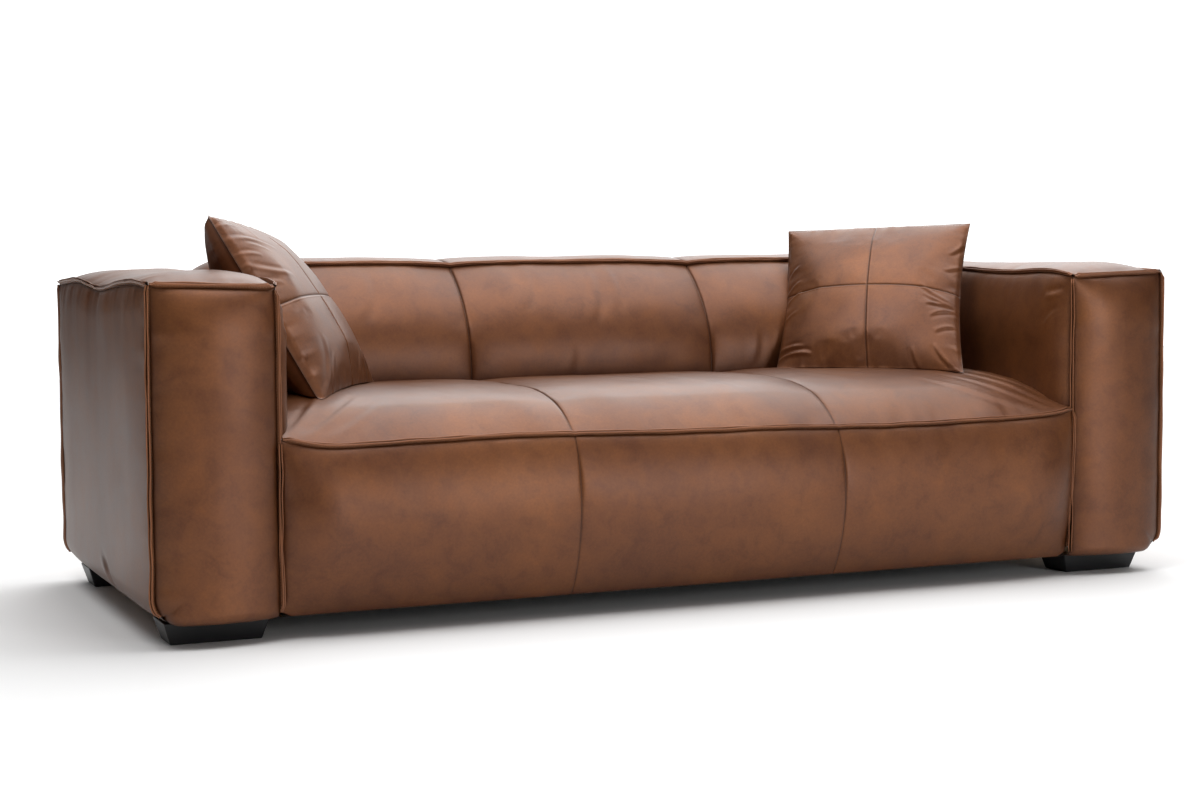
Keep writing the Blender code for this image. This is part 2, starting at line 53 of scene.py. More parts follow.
# -------- sizes, from the frame
OVER_BOARDS = 0.011  # leather and wadding outside each thin panel of an arm
ARM_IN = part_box("arm_right_inner_panel")[0][0] - OVER_BOARDS
ARM_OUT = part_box("arm_right_outer_panel")[1][0] + OVER_BOARDS
ARM_W = ARM_OUT - ARM_IN
ARM_LOW, ARM_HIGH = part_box("arm_cover_right")
FRONT, REAR, BASE = ARM_LOW[1], ARM_HIGH[1], ARM_LOW[2]
ARM_CORNER = 0.055  # radius of the arm's lower outer edge
BAY = 0.303  # seams between the three seat and back panels
SEAT_END = ARM_IN - 0.004
SEAT_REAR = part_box("seat_cover")[1][1] + 0.030
SEAT_SEAM_Y = FRONT - 0.008
BORDER_FOOT_Y = -0.440
BORDER_BOW = 0.0485
SEAT_CROWN = 0.455
BACK_SEAM_Y, BACK_SEAM_Z = 0.262, 0.700
BACK_FOOT_Y = 0.124
BACK_BEND_Z = 0.44  # height from which the back's front leans away

# -------- seams
LIP = 0.0095  # height of a raised seam
LIP_THICK = 0.0034
LIP_SPLAY = 0.0027  # half the distance between the middles of the two raw edges
STITCH_STEP = 0.0055
STITCH_LONG = 0.0036
STITCH_RADIUS = 0.0008
SEAM_DARK = 0.0022  # reach of the painted shade beside a raised seam
PANEL_DARK = 0.0009  # reach of the painted shade along a plain seam
RIM = 0.03  # width of the leather turned under a cover

# -------- wax and light
WAX_TINT = 4.8  # colour of the wax sheen, as a multiple of the leather's
WAX_SHARE = 0.22  # share of the sheen where the leather faces the viewer
WORLD_DIM = 0.02  # strength of the surroundings
WORLD_UP = 0.42  # added by the pale ceiling
WORLD_BRIGHT = 1.50  # strength of the backdrop behind the sofa


# ======== numbers
def spline(x, knots):
    """Natural cubic spline through (x, y) knots, held level past its ends."""
    kx, ky = (np.array(c, float) for c in zip(*knots))
    x = np.clip(x, kx[0], kx[-1])
    n, h = len(kx), np.diff(kx)
    matrix, right = np.eye(n), np.zeros(n)
    for i in range(1, n - 1):
        matrix[i, i - 1:i + 2] = h[i - 1], 2 * (h[i - 1] + h[i]), h[i]
        right[i] = 6 * ((ky[i + 1] - ky[i]) / h[i] - (ky[i] - ky[i - 1]) / h[i - 1])
    m = np.linalg.solve(matrix, right)
    i = np.clip(np.searchsorted(kx, x) - 1, 0, n - 2)
    a, b = kx[i + 1] - x, x - kx[i]
    return (
        (m[i] * a ** 3 + m[i + 1] * b ** 3) / (6 * h[i])
        + (ky[i] / h[i] - m[i] * h[i] / 6) * a
        + (ky[i + 1] / h[i] - m[i + 1] * h[i] / 6) * b
    )


def noise(x, y, cell, seed):
    """Smooth noise from -1 to 1, with features about one cell wide."""
    table = np.random.default_rng(seed).uniform(-1.0, 1.0, (61, 61))
    gx, gy = x / cell + 211.3, y / cell + 97.7
    ix, iy = np.floor(gx).astype(int), np.floor(gy).astype(int)
    fx, fy = gx - ix, gy - iy
    fx, fy = fx * fx * (3 - 2 * fx), fy * fy * (3 - 2 * fy)
    low = table[ix % 61, iy % 61] * (1 - fx) + table[(ix + 1) % 61, iy % 61] * fx
    high = table[ix % 61, (iy + 1) % 61] * (1 - fx) + table[(ix + 1) % 61, (iy + 1) % 61] * fx
    return low * (1 - fy) + high * fy


def puff(distance, reach):
    """Rise of stuffed leather away from a seam: 0 at the seam, 1 from reach on."""
    t = np.clip(distance / reach, 0.0, 1.0)
    return (1.0 - (1.0 - t) ** 2) ** 0.6


def pucker(distance, along, seed, cell=0.035, fade=0.035):
    """Small gathers that start at a seam and die away from it."""
    ripples = noise(along, distance * 0.15, cell, seed)
    ripples += 0.5 * noise(along, distance * 0.3, cell * 0.45, seed + 1)
    return ripples * np.exp(-distance / fade) * np.clip(distance / 0.008, 0.0, 1.0)


def dark_line(*distances, reach=SEAM_DARK):
    """Painted shade beside seams at the given distances."""
    return sum(np.exp(-distance / reach) for distance in distances)


def folds(x, y, table):
    """All creases of a table of (start, end, bend, width, height)."""
    return sum(fold(x, y, *row) for row in table)


def fold(x, y, start, end, bend, width, height):
    """A soft crease from start to end: a ridge with a hollow beside it."""
    (ax, ay), (bx, by) = start, end
    length = math.hypot(bx - ax, by - ay)
    ux, uy = (bx - ax) / length, (by - ay) / length
    t = ((x - ax) * ux + (y - ay) * uy) / length
    side = -(x - ax) * uy + (y - ay) * ux
    inside = np.clip(t, 0.0, 1.0)
    side = side - bend * 4.0 * inside * (1.0 - inside)
    past = np.maximum(np.abs(t - 0.5) - 0.5, 0.0) * length
    strength = np.sin(math.pi * inside) ** 0.7 * np.exp(-((past / width) ** 2))
    ridge = np.exp(-((side / width) ** 2)) - 0.8 * np.exp(-(((side - 1.5 * width) / width) ** 2))
    return height * strength * ridge


def edge_spaced(low, high, step, squeeze=0.55):
    """Values from low to high, closer together near both ends."""
    count = max(int(round((high - low) / step)), 4)
    t = np.linspace(0.0, 1.0, count + 1)
    eased = 0.5 - 0.5 * np.cos(math.pi * t)
    return low + (high - low) * (t * (1 - squeeze) + eased * squeeze)


def with_seam(values, seam, near=0.012, step=0.0010):
    """The values with extra ones close to a seam."""
    extra = np.arange(seam - near, seam + near + step / 2, step)
    kept = values[np.abs(values - seam) > near + step / 2]
    return np.sort(np.concatenate((kept, extra)))


def unit(vectors):
    return vectors / np.maximum(np.linalg.norm(vectors, axis=-1, keepdims=True), 1e-9)


def normals(grid):
    """Unit normals of a grid of points, by the right-hand rule from rows to columns."""
    rows = np.gradient(grid, axis=0)
    columns = np.gradient(grid, axis=1)
    return unit(np.cross(rows, columns))


def crossed(rows, columns):
    """Two grids of numbers, one that varies over the rows and one over the columns."""
    return np.meshgrid(rows, columns, indexing="ij")


def at(x, y, z):
    """Points from three coordinates, each an array or one number."""
    return np.stack(np.broadcast_arrays(x, y, z), axis=-1)


def standing(along, tops, foot, step, squeeze=0.55):
    """Grids over a standing panel: place, share of the rise, height over the foot, drop from the top."""
    place, share = crossed(along, edge_spaced(0.0, 1.0, step, squeeze))
    rise = tops[:, None] - foot
    height = share * rise
    return place, share, height, rise - height


# ======== meshes
def add_object(name, data):
    obj = bpy.data.objects.new(name, data)
    bpy.context.scene.collection.objects.link(obj)
    return obj


def quads_between(index):
    """Corners of the faces between the points of a grid, from the grid of their numbers."""
    return np.stack((index[:-1, :-1], index[1:, :-1], index[1:, 1:], index[:-1, 1:]), axis=-1)


class Skin:
    """Points and faces gathered into one mesh, with per-point values of painted shade and of pale raw edges
    and painted highlight lines.
    """

    def __init__(self):
        self.points, self.faces, self.dark, self.raw_edge_and_rim_highlight = [], [], [], []
        self.count = 0

    def add_grid(self, grid, dark=0.0, raw_edge_and_rim_highlight=0.0, flip=False, closed=False):
        """Add a grid; flip turns its faces over, and closed joins its last column to its first."""
        rows, columns = grid.shape[:2]
        count = rows * columns
        index = self.count + np.arange(count).reshape(rows, columns)
        if closed:
            index = np.concatenate((index, index[:, :1]), axis=1)
        quads = quads_between(index).reshape(-1, 4)
        self.points.append(grid.reshape(-1, 3))
        self.faces.append(quads[:, ::-1] if flip else quads)
        self.dark.append(np.broadcast_to(np.ravel(np.clip(dark, 0, 1)), (count,)))
        self.raw_edge_and_rim_highlight.append(np.broadcast_to(np.ravel(raw_edge_and_rim_highlight), (count,)))
        self.count += count

    def build(self, name, material, side=1):
        """The mesh object; side -1 mirrors it to the left."""
        points = np.concatenate(self.points) * (side, 1, 1)
        faces = np.concatenate(self.faces)
        if side < 0:
            faces = faces[:, ::-1]
        mesh = bpy.data.meshes.new(name)
        mesh.from_pydata(points.tolist(), [], faces.tolist())
        for label, values in (("dark", self.dark), ("raw_edge_and_rim_highlight", self.raw_edge_and_rim_highlight)):
            attribute = mesh.attributes.new(label, "FLOAT", "POINT")
            attribute.data.foreach_set("value", np.concatenate(values).astype(np.float32))
        mesh.shade_smooth()
        mesh.validate()
        mesh.materials.append(material)
        return add_object(name, mesh)


LIP_SECTION = (  # round one lip: share of its height, of the splay, of its thickness; painted shade at its foot and on its side towards the other lip; raw-edge paleness, strongest at its top
    (-0.35, 0.25, 0.0, 0.6, 0.1), (0.40, 0.60, 0.0, 0.0, 0.5), (0.80, 0.95, 0.0, 0.0, 0.8),
    (0.95, 1.0, 0.22, 0.0, 1.0), (1.0, 1.0, 0.5, 0.0, 1.0), (0.95, 1.0, 0.78, 0.0, 1.0),
    (0.75, 0.95, 1.0, 0.6, 0.5), (0.30, 0.60, 1.0, 1.0, 0.0), (-0.35, 0.25, 1.0, 1.0, 0.0),
)


def flange(skin, thread, curve, up, across, seed):
    """A double-lip seam along curve, standing towards up, with stitches on the lip towards across."""
    along = np.concatenate(([0.0], np.cumsum(np.linalg.norm(np.diff(curve, axis=0), axis=1))))
    tangent = unit(np.gradient(curve, axis=0))
    up = unit(up - tangent * np.sum(up * tangent, axis=1, keepdims=True))
    away = unit(np.cross(tangent, up))
    away = away * np.sign(np.sum(away * across, axis=1, keepdims=True))
    ends = np.clip(np.minimum(along, along[-1] - along) / 0.010, 0.35, 1.0)[:, None]
    for lip, sign in enumerate((1.0, -1.0)):
        tall = LIP * (1.0 + 0.10 * noise(along, along * 0, 0.06, seed + lip))[:, None] * ends
        splay = LIP_SPLAY * (1.0 + 0.5 * noise(along, along * 0, 0.045, seed + 7 + lip))[:, None]
        lean = (0.0009 * noise(along, along * 0, 0.09, seed + 13))[:, None]
        rings = []
        for rise, spread, inner, _, _ in LIP_SECTION:
            offset = sign * (splay * spread + LIP_THICK * (0.5 - inner)) + lean * rise
            rings.append(curve + up * tall * rise + away * offset)
        dark, raw_edge_and_rim_highlight = (np.tile([row[k] for row in LIP_SECTION], len(curve)) for k in (3, 4))
        skin.add_grid(np.stack(rings, axis=1), dark, raw_edge_and_rim_highlight, flip=sign < 0, closed=True)
        if sign > 0:
            place = curve + up * tall * 0.45 + away * (splay * 0.66 + LIP_THICK * 0.52) + away * lean
            stitches(thread, place, along, tangent, up, away)


def stitches(thread, place, along, tangent, up, out):
    """A row of short slanted stitches along a line of points."""
    for s in np.arange(STITCH_STEP, along[-1] - STITCH_STEP, STITCH_STEP):
        centre, t, u, n = (
            np.array([np.interp(s, along, values[:, k]) for k in range(3)])
            for values in (place, tangent, up, out)
        )
        t = t * 0.96 + u * 0.28
        ring = []
        for where, size in ((-0.5, 0.25), (-0.3, 1.0), (0.3, 1.0), (0.5, 0.25)):
            middle = centre + t * STITCH_LONG * where + n * (0.0002 if size == 1.0 else -0.0003)
            for k in range(5):
                angle = 2 * math.pi * k / 5
                ring.append(middle + (u * math.cos(angle) + n * math.sin(angle)) * STITCH_RADIUS * size)
        thread.add_grid(np.array(ring).reshape(4, 5, 3), closed=True)


def finish_piece(obj, body, replaced=()):
    if replaced:
        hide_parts(*replaced)
    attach(obj, body)


# ======== materials
def connect(tree, value, socket):
    """Set a socket to a value, or link it to the output of another node."""
    if isinstance(value, bpy.types.NodeSocket):
        tree.links.new(value, socket)
    else:
        socket.default_value = value


def add_node(tree, kind, inputs, **settings):
    """A new shader node, with a value or an output for each of its inputs."""
    node = tree.nodes.new("ShaderNode" + kind)
    for name, value in settings.items():
        setattr(node, name, value)
    for name, value in inputs.items():
        connect(tree, value, node.inputs[name])
    return node


def object_position(tree):
    return add_node(tree, "TexCoord", {}).outputs["Object"]


def noise_node(tree, coordinates, scale, detail=4.0, roughness=0.55, distortion=0.0):
    values = {"Scale": scale, "Detail": detail, "Roughness": roughness, "Distortion": distortion}
    return add_node(tree, "TexNoise", {"Vector": coordinates, **values}).outputs["Fac"]


def ramp_node(tree, value, *stops):
    """A colour for the value, between (position, colour) stops."""
    node = add_node(tree, "ValToRGB", {"Fac": value})
    elements = node.color_ramp.elements
    while len(elements) < len(stops):
        elements.new(0.5)
    for element, (position, colour) in zip(elements, stops):
        element.position = position
        element.color = (*colour, 1.0)
    return node.outputs["Color"]


def mix_node(tree, factor, first, second, blend="MIX"):
    node = add_node(tree, "Mix", {}, data_type="RGBA", blend_type=blend)
    for name, value in (("Factor", factor), ("A", first), ("B", second)):
        connect(tree, value, next(s for s in node.inputs if s.name == name and s.enabled))
    return next(s for s in node.outputs if s.enabled)


def math_node(tree, operation, first, second):
    return add_node(tree, "Math", {0: first, 1: second}, operation=operation).outputs["Value"]


def range_node(tree, value, source, target, smooth=False):
    """The value mapped from one range to another."""
    names = ("Value", "From Min", "From Max", "To Min", "To Max")
    inputs = dict(zip(names, (value, *source, *target)))
    kind = "SMOOTHSTEP" if smooth else "LINEAR"
    return add_node(tree, "MapRange", inputs, interpolation_type=kind).outputs["Result"]


def bump_node(tree, height, strength, distance):
    inputs = {"Height": height, "Strength": strength, "Distance": distance}
    return add_node(tree, "Bump", inputs).outputs["Normal"]


def new_material(name):
    material = bpy.data.materials.new(name)
    material.use_nodes = True
    return material, material.node_tree


def surface(tree, **inputs):
    """Fill in the main shader; underscores stand for the spaces in the sockets' names."""
    shader = tree.nodes["Principled BSDF"]
    for name, value in inputs.items():
        connect(tree, value, shader.inputs[name.replace("_", " ")])
    return shader.outputs["BSDF"]


def leather_colour(tree, where, mottle, specks):
    """Clouds, mottle and specks of brown, with painted shade in the seams, creases and along some panel
    edges, pale raw edges, and a pale painted highlight line by the cushion rims.
    """
    clouds = ramp_node(
        tree, noise_node(tree, where, 4.0, 4.0, 0.55, 0.3), (0.34, (0.072, 0.0238, 0.0080)),
        (0.52, (0.086, 0.0286, 0.0085)), (0.68, (0.102, 0.0350, 0.0100)),
    )
    patches = ramp_node(
        tree, mottle, (0.30, (0.74, 0.69, 0.70)), (0.50, (1.0, 1.0, 1.0)), (0.70, (1.16, 1.15, 1.02)),
    )
    fine = ramp_node(tree, specks, (0.35, (0.86, 0.85, 0.85)), (0.65, (1.10, 1.09, 1.06)))
    colour = mix_node(tree, 0.8, clouds, patches, "MULTIPLY")
    colour = mix_node(tree, 0.7, colour, fine, "MULTIPLY")
    # mix in the painted shade from the first per-point value, then the pale raw-edge colour from the
    # second, which also paints a highlight line by the cushion rims
    for name, share, tone in (
        ("dark", 0.85, (0.020, 0.007, 0.003, 1.0)),
        ("raw_edge_and_rim_highlight", 0.40, (0.19, 0.075, 0.034, 1.0)),
    ):
        painted_light_and_raw_edge_mask = add_node(tree, "Attribute", {}, attribute_name=name).outputs["Fac"]
        colour = mix_node(tree, math_node(tree, "MULTIPLY", painted_light_and_raw_edge_mask, share), colour, tone)
    return colour


def leather_material():
    """Waxed leather: a brown body under a wax sheen that is strongest where it faces the viewer."""
    material, tree = new_material("waxed_leather")
    where = object_position(tree)
    mottle = noise_node(tree, where, 22.0, 6.0, 0.60, 0.5)
    specks = noise_node(tree, where, 210.0, 3.0, 0.6)
    colour = leather_colour(tree, where, mottle, specks)
    pores = add_node(tree, "TexVoronoi", {"Vector": where, "Scale": 620.0}, feature="DISTANCE_TO_EDGE")
    grain = math_node(tree, "MINIMUM", pores.outputs["Distance"], 0.22)
    grain = math_node(tree, "ADD", grain, math_node(tree, "MULTIPLY", specks, 0.35))
    normal = bump_node(tree, grain, 0.10, 0.0010)
    body = surface(
        tree, Base_Color=colour, Roughness=range_node(tree, mottle, (0.0, 1.0), (0.36, 0.46)),
        Normal=normal, Specular_IOR_Level=0.38,
    )
    tint = mix_node(tree, 1.0, colour, (WAX_TINT, WAX_TINT, WAX_TINT, 1.0), "MULTIPLY")
    wax = add_node(tree, "BsdfAnisotropic", {"Color": tint, "Roughness": 0.48, "Normal": normal})
    facing = add_node(tree, "LayerWeight", {"Blend": 0.5}).outputs["Facing"]
    share = math_node(tree, "MULTIPLY", math_node(tree, "SUBTRACT", 1.0, facing), WAX_SHARE)
    both = add_node(tree, "MixShader", {"Fac": share, 1: body, 2: wax.outputs["BSDF"]})
    connect(tree, both.outputs["Shader"], tree.nodes["Material Output"].inputs["Surface"])
    return material


def thread_material():
    """Waxed brown thread with a fine twist."""
    material, tree = new_material("waxed_thread")
    twist = noise_node(tree, object_position(tree), 900.0, 2.0)
    colour = ramp_node(tree, twist, (0.3, (0.15, 0.065, 0.030)), (0.7, (0.24, 0.11, 0.05)))
    surface(tree, Base_Color=colour, Roughness=0.55)
    return material


def wood_material(name, pale, deep, roughness, scale, relief):
    """Straight-grained wood between two tones; the grain runs along X."""
    material, tree = new_material(name)
    stretch = {"Vector": object_position(tree), "Scale": (scale * 0.08, scale, scale)}
    where = add_node(tree, "Mapping", stretch).outputs["Vector"]
    grain = noise_node(tree, where, 1.0, 6.0, 0.6, 0.5)
    colour = ramp_node(tree, grain, (0.35, deep), (0.65, pale))
    surface(tree, Base_Color=colour, Roughness=roughness, Normal=bump_node(tree, grain, relief, 0.0005))
    return material


def soft_material(name, pale, deep, scale, relief):
    """Matt foam, wadding or cloth, broken up by noise."""
    material, tree = new_material(name)
    cells = noise_node(tree, object_position(tree), scale, 5.0, 0.65)
    colour = ramp_node(tree, cells, (0.3, deep), (0.7, pale))
    surface(tree, Base_Color=colour, Roughness=0.95, Normal=bump_node(tree, cells, relief, 0.001))
    return material


def steel_material():
    """Drawn spring steel with faint scratches."""
    material, tree = new_material("drawn_steel")
    scratches = noise_node(tree, object_position(tree), 180.0, 4.0)
    colour = ramp_node(tree, scratches, (0.3, (0.42, 0.42, 0.43)), (0.7, (0.62, 0.62, 0.63)))
    rough = range_node(tree, scratches, (0.0, 1.0), (0.25, 0.45))
    surface(tree, Base_Color=colour, Roughness=rough, Metallic=1.0)
    return material


LEATHER = leather_material()
THREAD = thread_material()
SLOT_MATERIALS = {
    "leather": LEATHER,
    "foot_wood": wood_material("black_wood", (0.005, 0.005, 0.006), (0.002, 0.002, 0.003), 0.42, 260, 0.15),
    "frame_wood": wood_material("frame_timber", (0.62, 0.45, 0.28), (0.42, 0.28, 0.16), 0.75, 60, 0.4),
    "hardboard": soft_material("hardboard_sheet", (0.33, 0.21, 0.12), (0.24, 0.14, 0.08), 300.0, 0.3),
    "foam": soft_material("open_foam", (0.88, 0.82, 0.64), (0.76, 0.70, 0.52), 500.0, 0.6),
    "wadding": soft_material("fibre_wadding", (0.93, 0.93, 0.91), (0.80, 0.80, 0.78), 90.0, 0.8),
    "lining": soft_material("black_lining", (0.035, 0.035, 0.036), (0.018, 0.018, 0.018), 700.0, 0.5),
    "steel": steel_material(),
}


def paint_cad_nodes():
    for entry in frame["record"]["subparts"]:
        mesh = NODES[entry["node"]].data
        mesh.materials.clear()
        mesh.materials.append(SLOT_MATERIALS[entry["material_slot"]])


# ======== arms
OUTER_TOP = (  # (y, height) along an arm's top outer seam
    (-0.455, 0.677), (-0.375, 0.681), (-0.20, 0.677), (0.0, 0.664),
    (0.195, 0.676), (0.40, 0.673), (0.483, 0.669),
)
INNER_TOP = (
    (-0.455, 0.672), (-0.399, 0.680), (-0.25, 0.678), (-0.02, 0.684), (0.25, 0.682), (0.483, 0.676),
)
TOP_CROWN = 0.024
FRONT_BULGE = 0.036
REAR_BULGE = 0.010
OUTER_BULGE = 0.014
OUTER_REACH = 0.165
INNER_BULGE = 0.038
INNER_REACH = 0.15
UNDER_ROLL = 0.020  # radius of the lower front and rear edges
INNER_FOOT = 0.300  # where an arm's inner leather ends, out of sight beside the seat
ARM_INNER_FOLDS = (
    ((-0.435, 0.6), (-0.395, 0.56), 0.004, 0.007, 0.0035),
    ((-0.437, 0.64), (-0.385, 0.628), -0.003, 0.007, 0.003),
)
ARM_OUTER_FOLDS = (((-0.10, 0.045), (0.02, 0.115), 0.01, 0.010, 0.003),)


def corner_lift(distance):
    """Seams climb a little where three of them meet."""
    return 0.006 * np.exp(-((distance / 0.011) ** 2))


def outer_top(y):
    return spline(y, OUTER_TOP) + corner_lift(y - FRONT) + corner_lift(REAR - y)


def inner_top(y):
    return spline(y, INNER_TOP) + 0.5 * corner_lift(y - FRONT)


def end_top(across, y):
    """Height of the top seam of an arm's front or rear panel."""
    blend = across / ARM_W
    plain = inner_top(np.array([y])) * (1 - blend) + outer_top(np.array([y])) * blend
    sag = 0.005 * np.minimum(puff(across, 0.03), puff(ARM_W - across, 0.03))
    return plain - sag


def roll_under(height, radius):
    """How far a surface has turned in at a height above its lowest line."""
    t = 1.0 - np.clip(height / radius, 0.0, 1.0)
    return radius * (1.0 - np.sqrt(np.maximum(1.0 - t * t, 0.0)))


def round_corner(across, height):
    """Points of an arm's end panel, moved onto its round lower outer corner."""
    dx = across - (ARM_W - ARM_CORNER)
    dz = ARM_CORNER - height
    both = (dx > 0) & (dz > 0)
    size = np.maximum(np.hypot(dx, dz), 1e-9)
    shrink = np.where(both, np.maximum(dx, dz) / size, 1.0)
    return across + np.where(both, dx * (shrink - 1), 0), height - np.where(both, dz * (shrink - 1), 0)


def arm_end(skin, y, facing, bulge, seed):
    """The front (facing -1) or rear (facing 1) panel of an arm."""
    across = edge_spaced(0.0, ARM_W, 0.0045)
    a, _, height, below = standing(across, end_top(across, y), BASE, 0.0045 / 0.63)
    side = np.minimum(a, ARM_W - a)
    body = puff(side, 0.125) * puff(below, 0.11)
    depth = bulge * body
    depth += 0.0016 * noise(a, height, 0.09, seed) * body
    depth += 0.0013 * pucker(side, height, seed + 3) + 0.0012 * pucker(below, a, seed + 5)
    depth -= roll_under(height, UNDER_ROLL) + 0.002
    a2, h2 = round_corner(a, height)
    grid = at(ARM_IN + a2, y + facing * depth, BASE + h2)
    shade = dark_line(side, below)
    # painted shade where the padding rolls away from the light: darker towards the panel's outer edge and,
    # less, towards its inner edge
    shade += 0.62 * np.exp(-(ARM_W - a) / 0.030) + 0.22 * np.exp(-a / 0.018)
    skin.add_grid(grid, shade, flip=facing > 0)


def arm_outer(skin, seed):
    length = edge_spaced(FRONT, REAR, 0.006)
    y, _, height, below = standing(length, outer_top(length), BASE, 0.006 / 0.63)
    ends = np.minimum(y - FRONT, REAR - y)
    knee = (1.0 - (1.0 - np.clip(ends / OUTER_REACH, 0, 1)) ** 1.6) ** 0.7
    out = OUTER_BULGE * knee * puff(below, 0.06) * (0.62 + 0.38 * height / 0.63)
    drape = 0.0018 * noise(y, below * 0.20, 0.075, seed) * np.exp(-below / 0.13)
    out += drape * puff(ends, 0.05) * puff(below, 0.05)
    out += 0.0014 * noise(y, height, 0.20, seed + 1) * puff(ends, 0.08)
    out += 0.0016 * pucker(ends, height, seed + 2) + 0.0016 * pucker(below, y, seed + 4)
    out -= 0.0010 * np.exp(-((y + 0.01) / 0.030) ** 2) * puff(below, 0.04) * np.exp(-below / 0.22)
    out += folds(y, BASE + height, ARM_OUTER_FOLDS)
    out -= roll_under(height, ARM_CORNER)
    grid = at(ARM_OUT + out, y, BASE + height)
    # painted shade on the side panel close to its front and rear seams, where the padding rolls away from
    # the light
    shade = dark_line(ends, below) + 0.50 * np.exp(-ends / 0.032)
    skin.add_grid(grid, shade, flip=True)


def arm_inner(skin, seed):
    length = edge_spaced(FRONT, REAR, 0.0055)
    y, _, height, below = standing(length, inner_top(length), INNER_FOOT, 0.0055 / 0.37)
    z = INNER_FOOT + height
    ends = np.minimum(y - FRONT, REAR - y)
    out = INNER_BULGE * puff(ends, 0.085) * puff(below, INNER_REACH)
    out += 0.0016 * noise(y, z, 0.10, seed) * puff(ends, 0.05)
    out += 0.0016 * pucker(ends, z, seed + 2) + 0.0013 * pucker(below, y, seed + 4)
    out += folds(y, z, ARM_INNER_FOLDS)
    skin.add_grid(at(ARM_IN - out, y, z), dark_line(ends, below))


def arm_top(skin, seed):
    across = edge_spaced(0.0, ARM_W, 0.005)
    length = edge_spaced(FRONT, REAR, 0.006)
    a, y = crossed(across, length)
    seam = inner_top(y) * (1 - a / ARM_W) + outer_top(y) * a / ARM_W
    ends = np.minimum(y - FRONT, REAR - y)
    sag = 0.005 * np.minimum(puff(a, 0.03), puff(ARM_W - a, 0.03)) * np.exp(-ends / 0.012)
    side = np.minimum(a, ARM_W - a)
    up = TOP_CROWN * puff(side, 0.10) * puff(ends, 0.14)
    up += 0.0022 * noise(a, y, 0.11, seed) * puff(side, 0.05) * puff(ends, 0.05)
    up += 0.0016 * pucker(side, y, seed + 2) + 0.0018 * pucker(ends, a, seed + 4)
    skin.add_grid(at(ARM_IN + a, y, seam - sag + up), dark_line(side, ends))


def arm_underside(skin):
    """Leather turned under the arm, round the foot boards."""
    x0, x1 = ARM_IN, ARM_OUT - ARM_CORNER + 0.012
    y0, y1 = FRONT + UNDER_ROLL, REAR - UNDER_ROLL
    rings = []
    for rim, lift in ((0.0, 0.0004), (RIM, 0.0002)):
        x = np.array((x0 + rim, x1 - rim, x1 - rim, x0 + rim, x0 + rim))
        y = np.array((y0 + rim, y0 + rim, y1 - rim, y1 - rim, y0 + rim))
        rings.append(at(x, y, BASE + lift))
    skin.add_grid(np.array(rings))


def end_outline(y, seed):
    """The seam round an arm's end panel: up the inner edge, across the top, down the outer edge."""
    heights = np.arange(0.012, 0.66, 0.006)
    top_in, top_out = end_top(np.array([0.0, ARM_W]), y)
    wave = 0.0012 * noise(heights, heights * 0, 0.08, seed)
    inner = [(w, BASE + h) for w, h in zip(wave, heights) if BASE + h < top_in - 0.003]
    across = np.arange(0.002, ARM_W - 0.001, 0.005)
    top = list(zip(across, end_top(across, y)))
    a, h = round_corner(np.full(len(heights), ARM_W), heights)
    outer = [(a[i] + wave[-i], BASE + h[i]) for i in range(len(heights)) if BASE + h[i] < top_out - 0.003]
    return inner, top, outer[::-1]


def arm_flanges(skin, thread, seed):
    for y, facing, spread in ((FRONT, -1, 0.69), (REAR, 1, 0.15)):
        inner, top, outer = (
            np.array([(ARM_IN + a, y, z) for a, z in line]) for line in end_outline(y, seed + facing)
        )
        out = np.array((0.0, facing, 0.0))
        flange(skin, thread, inner, out * 0.75 + np.array((-0.65, 0, 0)), out, seed + 21)
        flange(skin, thread, top, out * 0.42 + np.array((0, 0, 0.9)), out, seed + 22)
        around = np.array([(ARM_OUT - ARM_CORNER, y, BASE + ARM_CORNER)])
        away = np.where(outer[:, 2:] < BASE + ARM_CORNER, unit(outer - around), np.array([[1.0, 0, 0]]))
        flange(skin, thread, outer, out * 0.72 + away * spread, out, seed + 23)
    length = np.arange(FRONT + 0.001, REAR, 0.006)
    outer = at(ARM_OUT, length, outer_top(length))
    flange(skin, thread, outer, (0.62, 0, 0.78), (1, 0, 0), seed + 24)
    inner = at(ARM_IN, length, inner_top(length))
    flange(skin, thread, inner, (-0.55, 0, 0.83), (-1, 0, 0), seed + 25)


def build_arm(side):
    hand, seed = ("right", 100) if side > 0 else ("left", 200)
    skin, thread = Skin(), Skin()
    arm_end(skin, FRONT, -1, FRONT_BULGE, seed)
    arm_end(skin, REAR, 1, REAR_BULGE, seed + 40)
    arm_outer(skin, seed + 50)
    arm_inner(skin, seed + 60)
    arm_top(skin, seed + 70)
    arm_underside(skin)
    arm_flanges(skin, thread, seed + 80)
    cover = skin.build(f"arm_{hand}_leather", LEATHER, side)
    finish_piece(cover, "sofa", [f"arm_cover_{hand}"])
    finish_piece(thread.build(f"arm_{hand}_stitching", THREAD, side), "sofa")


# ======== seat
SEAT_SEAM = (
    (-0.911, 0.388), (-0.884, 0.380), (-0.85, 0.372), (-0.73, 0.367), (-0.38, 0.371), (-0.05, 0.365),
    (0.30, 0.361), (0.45, 0.358), (0.69, 0.360), (0.84, 0.365), (0.885, 0.372), (0.911, 0.380),
)


def seat_seam(x):
    return spline(x, SEAT_SEAM) + 0.0012 * noise(x, x * 0, 0.07, 5)


def bay_distance(x):
    return np.minimum(np.abs(x - BAY), np.abs(x + BAY))


def bay_groove(x, depth=0.0028, width=0.0024):
    """The leather pulled in along the panel seams."""
    return -depth * np.exp(-bay_distance(x) / width)


def bay_dark(x):
    """Painted shade along the panel seams."""
    return 0.9 * dark_line(bay_distance(x), reach=PANEL_DARK)


def seat_columns(step=0.006):
    columns = edge_spaced(-SEAT_END, SEAT_END, step)
    return with_seam(with_seam(columns, -BAY), BAY)


def bay_puff(x, reach):
    return puff(bay_distance(x), reach)


